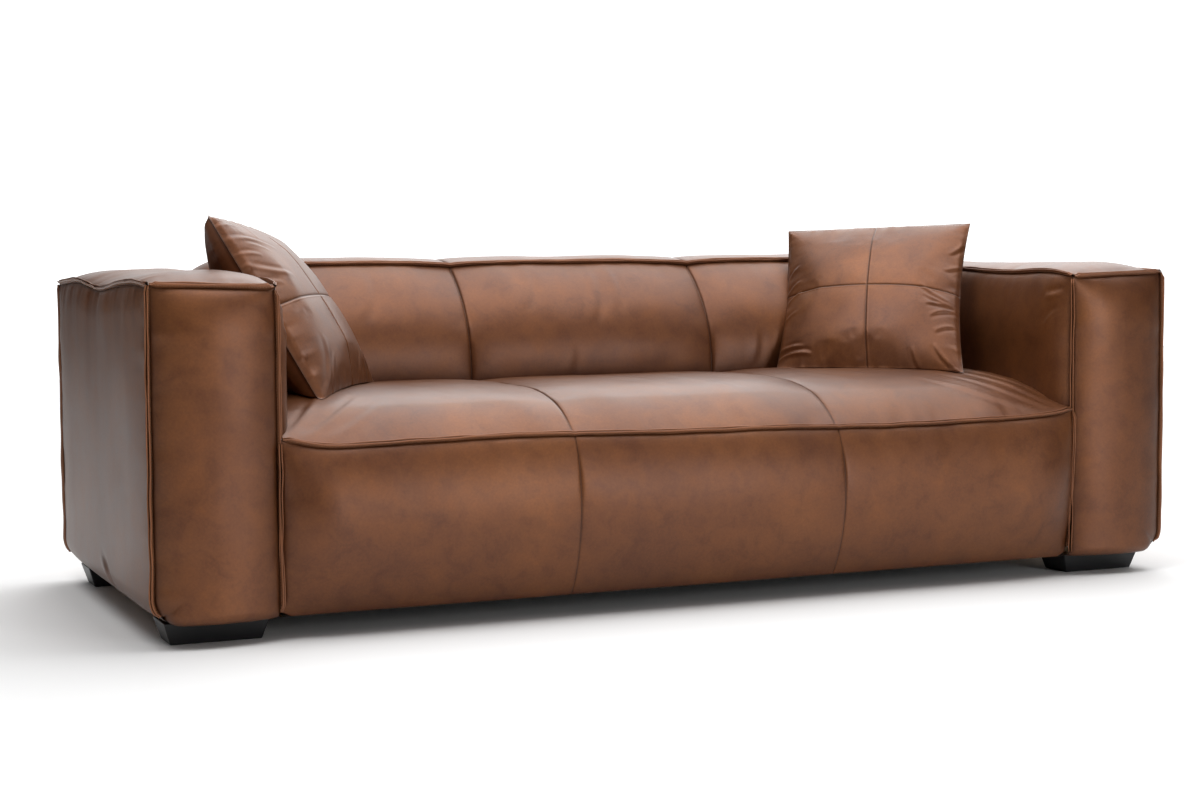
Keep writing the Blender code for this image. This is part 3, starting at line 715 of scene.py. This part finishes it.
def seat_surface(x, depth):
    """Height of the seat at a distance behind its front seam."""
    t = np.clip(depth / (SEAT_REAR - SEAT_SEAM_Y), 0.0, 1.0)
    seam = seat_seam(x)
    end = np.maximum(SEAT_END - np.abs(x), 0.0)
    near_arm = np.where(x > 0, np.exp(-((end / 0.070) ** 1.2)), 0.6 * np.exp(-((end / 0.035) ** 1.2)))
    middle = seam + (SEAT_CROWN - seam) * (1 - (1 - t) ** 6.4)
    beside = seam + (0.434 - seam) * (1 - (1 - t) ** 4.2)
    z = middle * (1 - near_arm) + beside * near_arm
    z -= 0.013 * t ** 3
    z += 0.008 * bay_puff(x, 0.14) * puff(end, 0.10) * np.clip(depth / 0.10, 0, 1)
    return z


SEAT_FOLDS = (
    # right end: creases that fan out from the arm's front corner
    ((0.885, -0.44), (0.72, -0.2), 0.02, 0.008, 0.0022),
    ((0.888, -0.41), (0.78, -0.15), 0.018, 0.0075, 0.0024),
    ((0.865, -0.445), (0.66, -0.24), 0.022, 0.008, 0.0018),
    ((0.892, -0.36), (0.835, -0.08), 0.012, 0.0075, 0.0022),
    ((0.82, -0.445), (0.59, -0.29), 0.02, 0.009, 0.0014),
    ((0.893, -0.3), (0.862, -0.06), 0.01, 0.0075, 0.0018),
    # left end
    ((-0.885, -0.445), (-0.77, -0.25), -0.014, 0.008, 0.0018),
    ((-0.86, -0.45), (-0.7, -0.3), -0.016, 0.008, 0.0016),
    ((-0.81, -0.45), (-0.65, -0.33), -0.014, 0.0085, 0.0013),
    # middle: long soft diagonals
    ((0.06, 0.06), (0.11, -0.33), -0.04, 0.009, 0.002),
    ((0.085, 0.05), (0.14, -0.34), -0.04, 0.0075, 0.0014),
    ((-0.06, 0.03), (0.01, -0.3), -0.03, 0.01, 0.0018),
    ((-0.11, 0.04), (-0.05, -0.26), -0.03, 0.009, 0.0012),
    ((0.15, -0.02), (0.23, -0.28), -0.02, 0.009, 0.0015),
    ((-0.48, 0.02), (-0.42, -0.3), -0.02, 0.011, 0.0014),
    ((-0.56, -0.05), (-0.52, -0.33), -0.02, 0.01, 0.0012),
    ((0.42, 0.02), (0.52, -0.26), -0.02, 0.011, 0.0016),
    ((0.38, -0.06), (0.45, -0.32), -0.018, 0.009, 0.0012),
)


def seat_wrinkles(x, y, depth):
    end = SEAT_END - np.abs(x)
    out = 0.0018 * noise(x, y, 0.16, 31) + 0.0008 * noise(x, y, 0.06, 32)
    out += 0.0016 * pucker(depth, x, 33, 0.045, 0.045)
    out += 0.0014 * pucker(bay_distance(x), y, 35, 0.05, 0.035)
    out += 0.0018 * pucker(end, y * 1.2, 37, 0.04, 0.06)
    return out + folds(x, y, SEAT_FOLDS)


def seat_top(skin):
    columns = seat_columns()
    depths = edge_spaced(0.0, SEAT_REAR - SEAT_SEAM_Y, 0.006, 0.35)
    depths = depths ** 1.25 / depths[-1] ** 0.25
    x, depth = crossed(columns, depths)
    y = SEAT_SEAM_Y + depth
    z = seat_surface(x, depth)
    grid = at(x, y, z)
    out = normals(grid)
    out *= np.sign(out[..., 2:])
    fade = puff(depth, 0.03)
    height = (bay_groove(x) + seat_wrinkles(x, y, depth)) * fade
    grid = grid + out * height[..., None]
    shade = bay_dark(x) + dark_line(depth)
    skin.add_grid(grid, shade)


def border_bow(up):
    return BORDER_BOW * np.sin(math.pi * np.clip(up, 0, 1)) ** 0.7


def seat_border(skin):
    columns = seat_columns()
    x, t, height, below = standing(columns, seat_seam(columns), BASE, 0.0055 / 0.33)
    end = SEAT_END - np.abs(x)
    y = BORDER_FOOT_Y + (SEAT_SEAM_Y - BORDER_FOOT_Y) * t
    swell = border_bow(t) * (0.10 + 0.90 * puff(end, 0.11))
    swell += 0.004 * bay_puff(x, 0.14) * puff(end, 0.1) * np.sin(math.pi * t)
    out = swell + bay_groove(x, 0.0020, 0.0020) * puff(below, 0.012)
    out += 0.0016 * noise(x, height, 0.17, 51) * np.sin(math.pi * t)
    out += 0.0014 * pucker(below, x, 53, 0.045, 0.04) + 0.0016 * pucker(end, height, 55)
    out += 0.0010 * pucker(bay_distance(x), height, 57, 0.05, 0.03)
    foot = 0.022
    corner = np.clip((foot - end) / foot, 0, 1) * np.clip((foot - height) / foot, 0, 1)
    grid = at(x, y - out, BASE + height + 0.010 * corner)
    shade = bay_dark(x) + dark_line(below, end)
    skin.add_grid(grid, shade, flip=True)


def seat_flanges(skin, thread):
    x = np.arange(-SEAT_END + 0.003, SEAT_END - 0.002, 0.006)
    dips = 1.0 - 0.35 * np.exp(-(bay_distance(x) / 0.006) ** 2)
    front = at(x, SEAT_SEAM_Y, seat_seam(x) - 0.004 * (1 - dips))
    flange(skin, thread, front, (0, -0.55, 0.84), (0, -1, 0), 61)
    for side in (-1, 1):
        z = np.arange(BASE + 0.022, seat_seam(np.array([side * SEAT_END]))[0] - 0.006, 0.006)
        t = (z - BASE) / (z[-1] - BASE)
        y = BORDER_FOOT_Y + (SEAT_SEAM_Y - BORDER_FOOT_Y) * t - 0.10 * border_bow(t)
        line = at(side * SEAT_END, y, z)
        flange(skin, thread, line, (side * 0.25, -0.97, 0), (-side, 0, 0), 63 + side)


def seat_underside(skin):
    x = np.linspace(-SEAT_END, SEAT_END, 60)
    y = np.array((BORDER_FOOT_Y, BORDER_FOOT_Y + RIM))
    gx, gy = crossed(x, y)
    skin.add_grid(at(gx, gy, BASE + 0.0002), flip=True)


def build_seat():
    skin, thread = Skin(), Skin()
    seat_top(skin)
    seat_border(skin)
    seat_flanges(skin, thread)
    seat_underside(skin)
    cover = skin.build("seat_leather", LEATHER)
    finish_piece(cover, "sofa", ["seat_cover"])
    finish_piece(thread.build("seat_stitching", THREAD), "sofa")


# ======== back
BACK_LOW = 0.405
BACK_REAR_Y, BACK_REAR_Z = REAR - 0.001, 0.690
BACK_END_DIP = 0.044  # how far the back's top rounds off beside the arms


def end_dip(x):
    """How far the back's top lies down at X, from nothing 95 mm before its ends."""
    end = SEAT_END - np.abs(x)
    return BACK_END_DIP * np.clip(1 - end / 0.095, 0, 1) ** 2


def back_rear_z(x):
    """Height of the back's top rear seam."""
    return BACK_REAR_Z - end_dip(x)


def back_seam_z(x):
    """The back's top front seam dips at the panel seams and at its ends."""
    wave = 0.0010 * noise(x, x * 0, 0.08, 71)
    return BACK_SEAM_Z + 0.007 * bay_puff(x, 0.20) + wave - end_dip(x)


BACK_FOLDS = (
    ((0.03, 0.69), (-0.01, 0.56), 0.01, 0.01, 0.002),
    ((0.08, 0.69), (0.06, 0.59), 0.008, 0.008, 0.0018),
    ((-0.13, 0.69), (-0.17, 0.6), 0.008, 0.01, 0.0015),
    ((-0.06, 0.52), (-0.075, 0.45), 0.004, 0.012, 0.001),
    ((0.42, 0.56), (0.4, 0.46), 0.006, 0.011, 0.0014),
    ((0.48, 0.58), (0.47, 0.47), 0.006, 0.011, 0.0012),
    ((-0.52, 0.68), (-0.56, 0.58), 0.008, 0.011, 0.0016),
)


def back_slope(z, top):
    """Y of the back's front at a height, where its top seam lies at height top."""
    up = np.clip((z - BACK_BEND_Z) / (top - BACK_BEND_Z), 0, 1)
    return BACK_FOOT_Y + (BACK_SEAM_Y - BACK_FOOT_Y) * up ** 2.6


def back_face(skin):
    columns = seat_columns()
    top = back_seam_z(columns)
    x, _, height, below = standing(columns, top, BACK_LOW, 0.0055 / 0.33, 0.35)
    z = BACK_LOW + height
    grid = at(x, back_slope(z, top[:, None]), z)
    out = normals(grid)
    out *= -np.sign(out[..., 1:2])
    end = SEAT_END - np.abs(x)
    height = 0.013 * bay_puff(x, 0.15) * puff(below, 0.12) * puff(end, 0.08) * puff(z - 0.428, 0.11)
    height += bay_groove(x, 0.0038) * puff(below, 0.012)
    height += (0.0018 * noise(x, z, 0.14, 73) + 0.0007 * noise(x, z, 0.05, 74)) * puff(below, 0.03)
    height += 0.0015 * pucker(below, x, 75, 0.045, 0.05)
    height += 0.0014 * pucker(bay_distance(x), z, 77, 0.05, 0.03)
    height += folds(x, z, BACK_FOLDS)
    grid = grid + out * height[..., None]
    shade = bay_dark(x) + dark_line(below)
    # painted shade in the crease where the back meets the seat, fading upwards from the bend
    shade += 0.85 * np.exp(-np.maximum(z - BACK_BEND_Z, 0) / 0.036)
    skin.add_grid(grid, shade, flip=True)


def back_top(skin):
    columns = seat_columns()
    across = edge_spaced(0.0, 1.0, 0.0055 / 0.22)
    x, t = crossed(columns, across)
    width = BACK_REAR_Y - BACK_SEAM_Y
    y = BACK_SEAM_Y + width * t
    z = back_seam_z(x) * (1 - t) + back_rear_z(x) * t
    side = np.minimum(t, 1 - t) * width
    end = SEAT_END - np.abs(x)
    up = 0.020 * puff(side, 0.10) + 0.004 * bay_puff(x, 0.15) * puff(side, 0.08)
    up *= 0.35 + 0.65 * puff(end, 0.09)
    up += bay_groove(x, 0.0035) * puff(side, 0.012)
    up += 0.0016 * noise(x, y, 0.12, 81) * puff(side, 0.04) + 0.0015 * pucker(side, x, 83, 0.05, 0.04)
    shade = bay_dark(x) + dark_line(side)
    skin.add_grid(at(x, y, z + up), shade)


def back_rear(skin):
    """The leather that closes the rear between the arms."""
    columns = seat_columns(0.010)
    x, _, height, below = standing(columns, back_rear_z(columns), BASE, 0.010 / 0.64)
    end = SEAT_END - np.abs(x)
    out = 0.013 * puff(end, 0.14) * puff(below, 0.12) * (0.75 + 0.25 * bay_puff(x, 0.15))
    out += bay_groove(x, 0.0035) * puff(below, 0.012)
    out += 0.0020 * noise(x, height, 0.16, 91) + 0.0014 * pucker(below, x, 93, 0.05, 0.05)
    out -= roll_under(height, UNDER_ROLL)
    shade = bay_dark(x) + dark_line(below) + dark_line(end, reach=0.003)
    skin.add_grid(at(x, REAR - 0.002 + out, BASE + height), shade)


def build_back():
    skin, thread = Skin(), Skin()
    back_face(skin)
    back_top(skin)
    x = np.arange(-SEAT_END + 0.006, SEAT_END - 0.005, 0.006)
    front = at(x, BACK_SEAM_Y, back_seam_z(x))
    flange(skin, thread, front, (0, -0.50, 0.86), (0, -1, 0), 85)
    cover = skin.build("back_leather", LEATHER)
    finish_piece(cover, "sofa", ["back_cover"])
    rear = Skin()
    back_rear(rear)
    edge = at(x, BACK_REAR_Y, back_rear_z(x))
    flange(rear, thread, edge, (0, 0.62, 0.78), (0, 1, 0), 87)
    panel = rear.build("back_rear_leather", LEATHER)
    finish_piece(panel, "sofa", ["back_rear_cover"])
    finish_piece(thread.build("back_stitching", THREAD), "sofa")


# ======== loose cushions
# Folds on the front of a cushion, in metres across and up from its middle.
LEFT_FOLDS = (
    ((-0.222, 0.192), (-0.15, 0.184), 0.003, 0.004, 0.0012),
    ((-0.222, 0.16), (-0.07, 0.12), 0.007, 0.0055, 0.0021),
    ((-0.222, 0.124), (-0.16, 0.108), 0.003, 0.0045, 0.0014),
    ((-0.222, 0.098), (-0.095, 0.05), -0.005, 0.006, 0.0018),
    ((-0.185, 0.142), (-0.11, 0.112), 0.003, 0.004, 0.0011),
    ((-0.222, 0.055), (-0.15, 0.038), 0.003, 0.005, 0.001),
    ((-0.205, -0.205), (-0.12, -0.09), -0.016, 0.01, 0.002),
    ((-0.16, -0.218), (-0.11, -0.13), 0.008, 0.0066, 0.0014),
    ((0.06, -0.218), (0.085, -0.14), 0.006, 0.0057, 0.0017),
    ((0.105, -0.218), (0.1, -0.12), -0.004, 0.0052, 0.0017),
    ((0.15, -0.215), (0.12, -0.13), -0.005, 0.0057, 0.0015),
    ((-0.12, 0.22), (-0.11, 0.15), 0.003, 0.0057, 0.0009),
)
RIGHT_FOLDS = (
    ((0.216, -0.035), (0.125, 0.01), 0.008, 0.0051, 0.0026),
    ((0.216, -0.04), (0.135, -0.018), 0.005, 0.0046, 0.003),
    ((0.216, -0.046), (0.14, -0.045), -0.003, 0.0046, 0.0029),
    ((0.216, -0.052), (0.15, -0.078), -0.005, 0.0051, 0.0023),
    ((0.216, -0.095), (0.16, -0.12), -0.004, 0.0051, 0.0016),
    ((0.216, 0.085), (0.175, 0.06), 0.004, 0.0051, 0.0016),
    ((0.216, 0.155), (0.185, 0.11), 0.004, 0.0055, 0.0019),
    ((-0.222, -0.19), (-0.13, -0.178), 0.008, 0.0055, 0.0036),
    ((-0.222, -0.165), (-0.15, -0.16), 0.004, 0.0051, 0.0022),
    ((-0.216, -0.03), (-0.165, 0.0), 0.004, 0.0055, 0.0017),
    ((-0.216, 0.0), (-0.17, 0.035), 0.004, 0.0051, 0.0017),
    ((-0.216, 0.045), (-0.175, 0.085), 0.004, 0.0055, 0.0014),
    ((-0.216, -0.08), (-0.17, -0.06), 0.004, 0.0055, 0.0014),
    ((0.13, -0.218), (0.11, -0.16), 0.004, 0.0055, 0.0016),
    ((0.2, -0.205), (0.16, -0.15), 0.004, 0.0055, 0.0019),
)

# Corners are top left, top right, bottom left and bottom right, seen from the front.
# "deep" and "fullness" are the height and the squareness of the swell of the front and the back.
# "pull" is how far the left, right, low and high sides are drawn in at their middles.
CUSHIONS = {
    "left": {
        "corners": (
            (-0.973, -0.190, 0.813), (-0.757, 0.194, 0.775),
            (-0.779, -0.315, 0.431), (-0.552, 0.058, 0.436),
        ),
        "deep": (0.0694, 0.112), "fullness": (0.44, 0.36), "pull": (0.011, 0.020, 0.038, 0.024),
        "seed": 11, "folds": LEFT_FOLDS,
    },
    "right": {
        "corners": (
            (0.590, 0.272, 0.780), (0.898, -0.066, 0.795),
            (0.444, 0.067, 0.445), (0.745, -0.273, 0.448),
        ),
        "deep": (0.064, 0.046), "fullness": (0.54, 0.50), "pull": (0.042, 0.073, -0.046, 0.0),
        "seed": 29, "folds": RIGHT_FOLDS,
    },
}
CUSHION_SIDE = 0.442
BAG_CELLS = 48
CUSHION_CELLS = 170
SIM_FRAMES = 20


def bag_mesh(name, seed):
    """A flat square bag of two sheets that share their rim, with the index of every point."""
    count = BAG_CELLS + 1
    front = np.arange(count * count).reshape(count, count)
    back = front.copy()
    back[1:-1, 1:-1] = count * count + np.arange((count - 2) ** 2).reshape(count - 2, count - 2)
    line = np.linspace(-CUSHION_SIDE / 2, CUSHION_SIDE / 2, count) * 1.03
    x, z = crossed(line, line)
    across, up = 1 - (x / line[-1]) ** 2, 1 - (z / line[-1]) ** 2
    x, z = x * (1 + 0.03 * up), z * (1 + 0.03 * across)
    points = np.zeros((count * count + (count - 2) ** 2, 3))
    points[front] = at(x, -(0.012 + 0.0015 * noise(x, z, 0.05, seed)) * across * up, z)
    rear = at(x, (0.012 + 0.0015 * noise(x, z, 0.05, seed + 1)) * across * up, z)
    points[back[1:-1, 1:-1]] = rear[1:-1, 1:-1]
    faces = []
    for index, turned in ((front, False), (back, True)):
        quads = quads_between(index).reshape(-1, 4)
        faces += (quads[:, ::-1] if turned else quads).tolist()
    mesh = bpy.data.meshes.new(name)
    mesh.from_pydata(points.tolist(), [], faces)
    return mesh, front, back


def blown_bag(name, seed):
    """Grids of points of the front and the back of a bag blown up by cloth simulation."""
    mesh, front, back = bag_mesh(name, seed)
    bag = add_object(name, mesh)
    scene = bpy.context.scene
    cloth = bag.modifiers.new("cloth", "CLOTH")
    cloth.point_cache.frame_start, cloth.point_cache.frame_end = 1, SIM_FRAMES
    settings = cloth.settings
    settings.quality = 6
    settings.mass = 0.25
    settings.tension_stiffness = settings.compression_stiffness = 25.0
    settings.shear_stiffness = 8.0
    settings.bending_stiffness = 4.0
    settings.air_damping = 1.5
    settings.use_pressure = True
    settings.uniform_pressure_force = 3.5
    settings.effector_weights.gravity = 0.0
    for frame_number in range(1, SIM_FRAMES + 1):
        scene.frame_set(frame_number)
    shaped = bag.evaluated_get(bpy.context.evaluated_depsgraph_get()).to_mesh()
    points = np.empty(len(shaped.vertices) * 3)
    shaped.vertices.foreach_get("co", points)
    points = points.reshape(-1, 3)
    bpy.data.objects.remove(bag)
    bpy.data.meshes.remove(mesh)
    scene.frame_set(1)
    return points[front], points[back]


def crown(cells):
    """Height, 0 to 1, of a plain crowned square."""
    t = np.linspace(-1, 1, cells + 1)
    return np.sqrt(np.maximum((1 - t[:, None] ** 2) * (1 - t[None, :] ** 2), 0.0))


def resample(grid, positions):
    """Smooth in-between rows of a grid at fractional row numbers."""
    low = np.clip(np.floor(positions).astype(int), 0, len(grid) - 2)
    f = (positions - low)[:, None]
    a, b, c, d = (grid[np.clip(low + k, 0, len(grid) - 1)] for k in (-1, 0, 1, 2))
    return b + 0.5 * f * (c - a + f * (2 * a - 5 * b + 4 * c - d + f * (3 * (b - c) + d - a)))


def cushion_positions():
    """Row numbers of the fine grid, closer together at the rim and at the middle seam."""
    values = edge_spaced(0.0, float(BAG_CELLS), BAG_CELLS / CUSHION_CELLS, 0.35)
    cell = CUSHION_SIDE / BAG_CELLS
    return with_seam(values, BAG_CELLS / 2, 0.012 / cell, 0.0015 / cell)


def cushion_patch(corners, u, v):
    """Points between four corners at (u, v) from -1 to 1, and the direction of the cushion's back."""
    top_left, top_right, low_left, low_right = (np.array(c) for c in corners)
    across, up = (1 + u[..., None]) / 2, (1 + v[..., None]) / 2
    top = top_left * (1 - across) + top_right * across
    low = low_left * (1 - across) + low_right * across
    along = (top_right - top_left) * up + (low_right - low_left) * (1 - up)
    return low * (1 - up) + top * up, unit(np.cross(top - low, along))


def cushion_face(heights, place, sign, rows):
    """One face of a cushion on its fine grid, with the distances across and up it."""
    fine = resample(resample(heights, rows).T, rows).T
    t = rows / BAG_CELLS * 2 - 1
    u, v = crossed(t, t)
    left, right, low, high = place["pull"]
    across = u * (1 - np.where(u < 0, left, right) * (1 - v ** 2) * u ** 2)
    up = v * (1 - np.where(v < 0, low, high) * (1 - u ** 2) * v ** 2)
    middle, back = cushion_patch(place["corners"], across, up)
    deep = place["deep"][sign > 0]
    return middle + back * (sign * deep * np.maximum(fine, 0))[..., None], u, v


def keep_above(z, low, soft=0.003):
    """Heights pressed softly to stay above a limit."""
    return low + soft * np.logaddexp(0.0, (z - low) / soft)


def push_out(reach, limit, height, top):
    """Points inside a block (reach past limit, height under top) leave it by its nearer face."""
    inward, under = reach - limit, top - height
    inside = (inward > 0) & (under > 0)
    sideways = inside & (inward <= under)
    return np.where(sideways, limit, reach), np.where(inside & ~sideways, top, height)


def rest_against_sofa(points):
    """Points of a cushion, flattened where it touches an arm, the back or the seat."""
    x, y, z = points[..., 0], points[..., 1], points[..., 2]
    across = np.maximum(np.abs(x) - ARM_IN, 0)
    arm_top = inner_top(y) + TOP_CROWN * puff(across, 0.10) + 0.004
    bulge = INNER_BULGE * puff(y - FRONT, 0.085) * puff(np.maximum(0.68 - z, 0), INNER_REACH)
    arm = ARM_IN - 0.003 - bulge
    reach, z = push_out(np.abs(x), arm, z, arm_top)
    x = np.sign(x) * reach
    back = back_slope(z, BACK_SEAM_Z) - 0.014
    y, z = push_out(y, back, z, BACK_SEAM_Z + 0.012)
    z = keep_above(z, seat_surface(x, y - SEAT_SEAM_Y) + 0.001)
    return at(x, y, z)


def cushion_relief(u, v, place, sign):
    """Height of the cross seam, the gathers along the rim and the folds on one face; painted shade along
    the cross seam and the rim; and on the back face a pale painted highlight line just inside the rim.
    """
    half = CUSHION_SIDE / 2
    x, z = u * half, v * half
    to_cross = np.minimum(np.abs(x), np.abs(z))
    to_rim = half * (1 - np.maximum(np.abs(u), np.abs(v)))
    along = np.where(np.abs(u) > np.abs(v), z, x)
    beside = np.where(np.abs(x) < np.abs(z), x, -z)
    seed = place["seed"] + sign
    height = 0.0026 * (puff(to_cross, 0.06) - 1) * puff(to_rim, 0.03)
    height -= 0.0014 * np.exp(-to_cross / 0.0018) * puff(to_rim, 0.01)
    height += 0.0007 * np.exp(-(((beside - 0.0042) / 0.0016) ** 2)) * puff(to_rim, 0.01)
    gathers = noise(along, to_rim * 0.15, 0.022, seed)
    gathers += 0.7 * noise(along, to_rim * 0.3, 0.011, seed + 1)
    height += 0.0014 * gathers * np.exp(-to_rim / 0.026) * np.clip(to_rim / 0.010, 0, 1)
    height += 0.0014 * noise(x, z, 0.070, seed + 5) * puff(to_rim, 0.03)
    if sign < 0:
        height += folds(x, z, place["folds"])
    shade = 0.85 * dark_line(to_cross, reach=PANEL_DARK) + 0.95 * dark_line(to_rim, reach=0.0021)
    # painted shade along the cross seam and the rim; on the back face, a pale painted highlight line just
    # inside the rim
    edge = 0.8 * np.exp(-(((to_rim - 0.0040) / 0.0016) ** 2)) if sign > 0 else 0.0 * to_rim
    return height, shade, edge


def build_cushion(hand):
    """A loose cushion: its swell comes from the blown bag, its outline from its four corners."""
    place = CUSHIONS[hand]
    plain = crown(BAG_CELLS)
    sheets = blown_bag("bag_" + hand, place["seed"])
    rows = cushion_positions()
    skin = Skin()
    for sheet, sign, fullness in zip(sheets, (-1, 1), place["fullness"]):
        heights = plain ** (2 * fullness)
        if sheet is not None:
            blown = np.maximum((sheet[..., 1] - sheet[0, :, 1].mean()) * sign, 0)
            heights = 0.65 * heights + 0.35 * blown / blown.max()
        face, u, v = cushion_face(heights, place, sign, rows)
        out = normals(face)
        out *= np.sign(np.sum(out * (face - face[0, 0]), axis=-1).mean())
        height, shade, edge = cushion_relief(u, v, place, sign)
        skin.add_grid(rest_against_sofa(face + out * height[..., None]), shade, edge, flip=sign > 0)
    cover = skin.build(f"cushion_{hand}_leather", LEATHER)
    finish_piece(cover, "cushion_" + hand, ["cushion_cover_" + hand])


# ======== camera, lights and floor
CAMERA_LENS = 63.46
CAMERA_PLACE = (-1.9581, -4.3465, 0.7479)
CAMERA_ANGLES = (23.784, 4.177, -0.348)  # turned right, tilted down, rolled
LIGHTS = (  # name, place, target, size, power
    ("overhead", (1.05, 0.2, 3.6), (1.05, 0.2, 0.0), (4.2, 4.2), 176.0),
    ("backdrop wash", (3.8, 5.4, 3.9), (3.8, 5.4, 0.0), (7.4, 4.6), 260.0),
    ("key", (2.2, -6.6, 1.45), (0.0, -0.4, 0.3), (1.2, 2.4), 112.0),
    ("left", (-1.9, -0.9, 3.5), (0.9, 0.1, 0.5), (1.8, 1.8), 46.0),
)


def add_camera():
    data = bpy.data.cameras.new("camera")
    data.lens = CAMERA_LENS
    camera = add_object("camera", data)
    turn, dip, roll = (math.radians(angle) for angle in CAMERA_ANGLES)
    look = Matrix.Rotation(-turn, 4, "Z") @ Matrix.Rotation(math.pi / 2 - dip, 4, "X")
    camera.matrix_world = Matrix.Translation(CAMERA_PLACE) @ look @ Matrix.Rotation(roll, 4, "Z")
    bpy.context.scene.camera = camera


def area_light(name, place, target, size, power):
    data = bpy.data.lights.new(name, "AREA")
    data.shape = "RECTANGLE"
    data.size, data.size_y = size
    data.energy = power
    light = add_object(name, data)
    light.location = place
    light.rotation_euler = (Vector(target) - Vector(place)).to_track_quat("-Z", "Y").to_euler()


def add_world():
    """Dim surroundings with a broad white backdrop behind the sofa and a pale ceiling."""
    world = bpy.data.worlds.new("studio")
    world.use_nodes = True
    tree = world.node_tree
    where = add_node(tree, "TexCoord", {}).outputs["Generated"]
    behind = Vector((0.615, 0.785, 0.12)).normalized()
    toward = add_node(tree, "VectorMath", {0: where, 1: behind}, operation="DOT_PRODUCT")
    toward = toward.outputs["Value"]
    backdrop = range_node(tree, toward, (0.66, 0.86), (WORLD_DIM, WORLD_BRIGHT), smooth=True)
    height = add_node(tree, "SeparateXYZ", {"Vector": where}).outputs["Z"]
    ceiling = range_node(tree, height, (0.25, 0.90), (0.0, WORLD_UP), smooth=True)
    background = tree.nodes["Background"]
    connect(tree, (1.0, 1.0, 1.0, 1.0), background.inputs["Color"])
    connect(tree, math_node(tree, "ADD", backdrop, ceiling), background.inputs["Strength"])
    bpy.context.scene.world = world


def floor_material():
    """Pale matt floor, darker near the sofa as painted shade, and fading into the backdrop far off, where
    it glows as painted light.
    """
    material, tree = new_material("pale_floor")
    far = add_node(tree, "VectorMath", {0: object_position(tree)}, operation="LENGTH").outputs["Value"]
    reach = range_node(tree, far, (1.5, 4.0), (0.0, 1.0))
    # painted shade: the floor is darker within 1.5 m of its middle, under the sofa, and lightens out to 4 m
    tone = mix_node(tree, reach, (0.79, 0.79, 0.79, 1.0), (0.94, 0.94, 0.94, 1.0))
    # painted light: the floor glows from 3.5 m out, so that it blends into the backdrop
    glow = range_node(tree, far, (3.5, 8.0), (0.0, 0.26))
    surface(tree, Base_Color=tone, Emission_Strength=glow, Roughness=0.9, Specular_IOR_Level=0.2)
    return material


def add_studio():
    bpy.context.scene.view_settings.view_transform = "Standard"
    add_world()
    for light in LIGHTS:
        area_light(*light)
    bpy.ops.mesh.primitive_plane_add(size=16.0, location=(1.5, 0, 0))
    floor = bpy.context.object
    floor.name = "floor"
    floor.data.materials.append(floor_material())


def main():
    paint_cad_nodes()
    add_camera()
    add_studio()
    for side in (-1, 1):
        build_arm(side)
    build_seat()
    build_back()
    for hand in CUSHIONS:
        build_cushion(hand)


main()
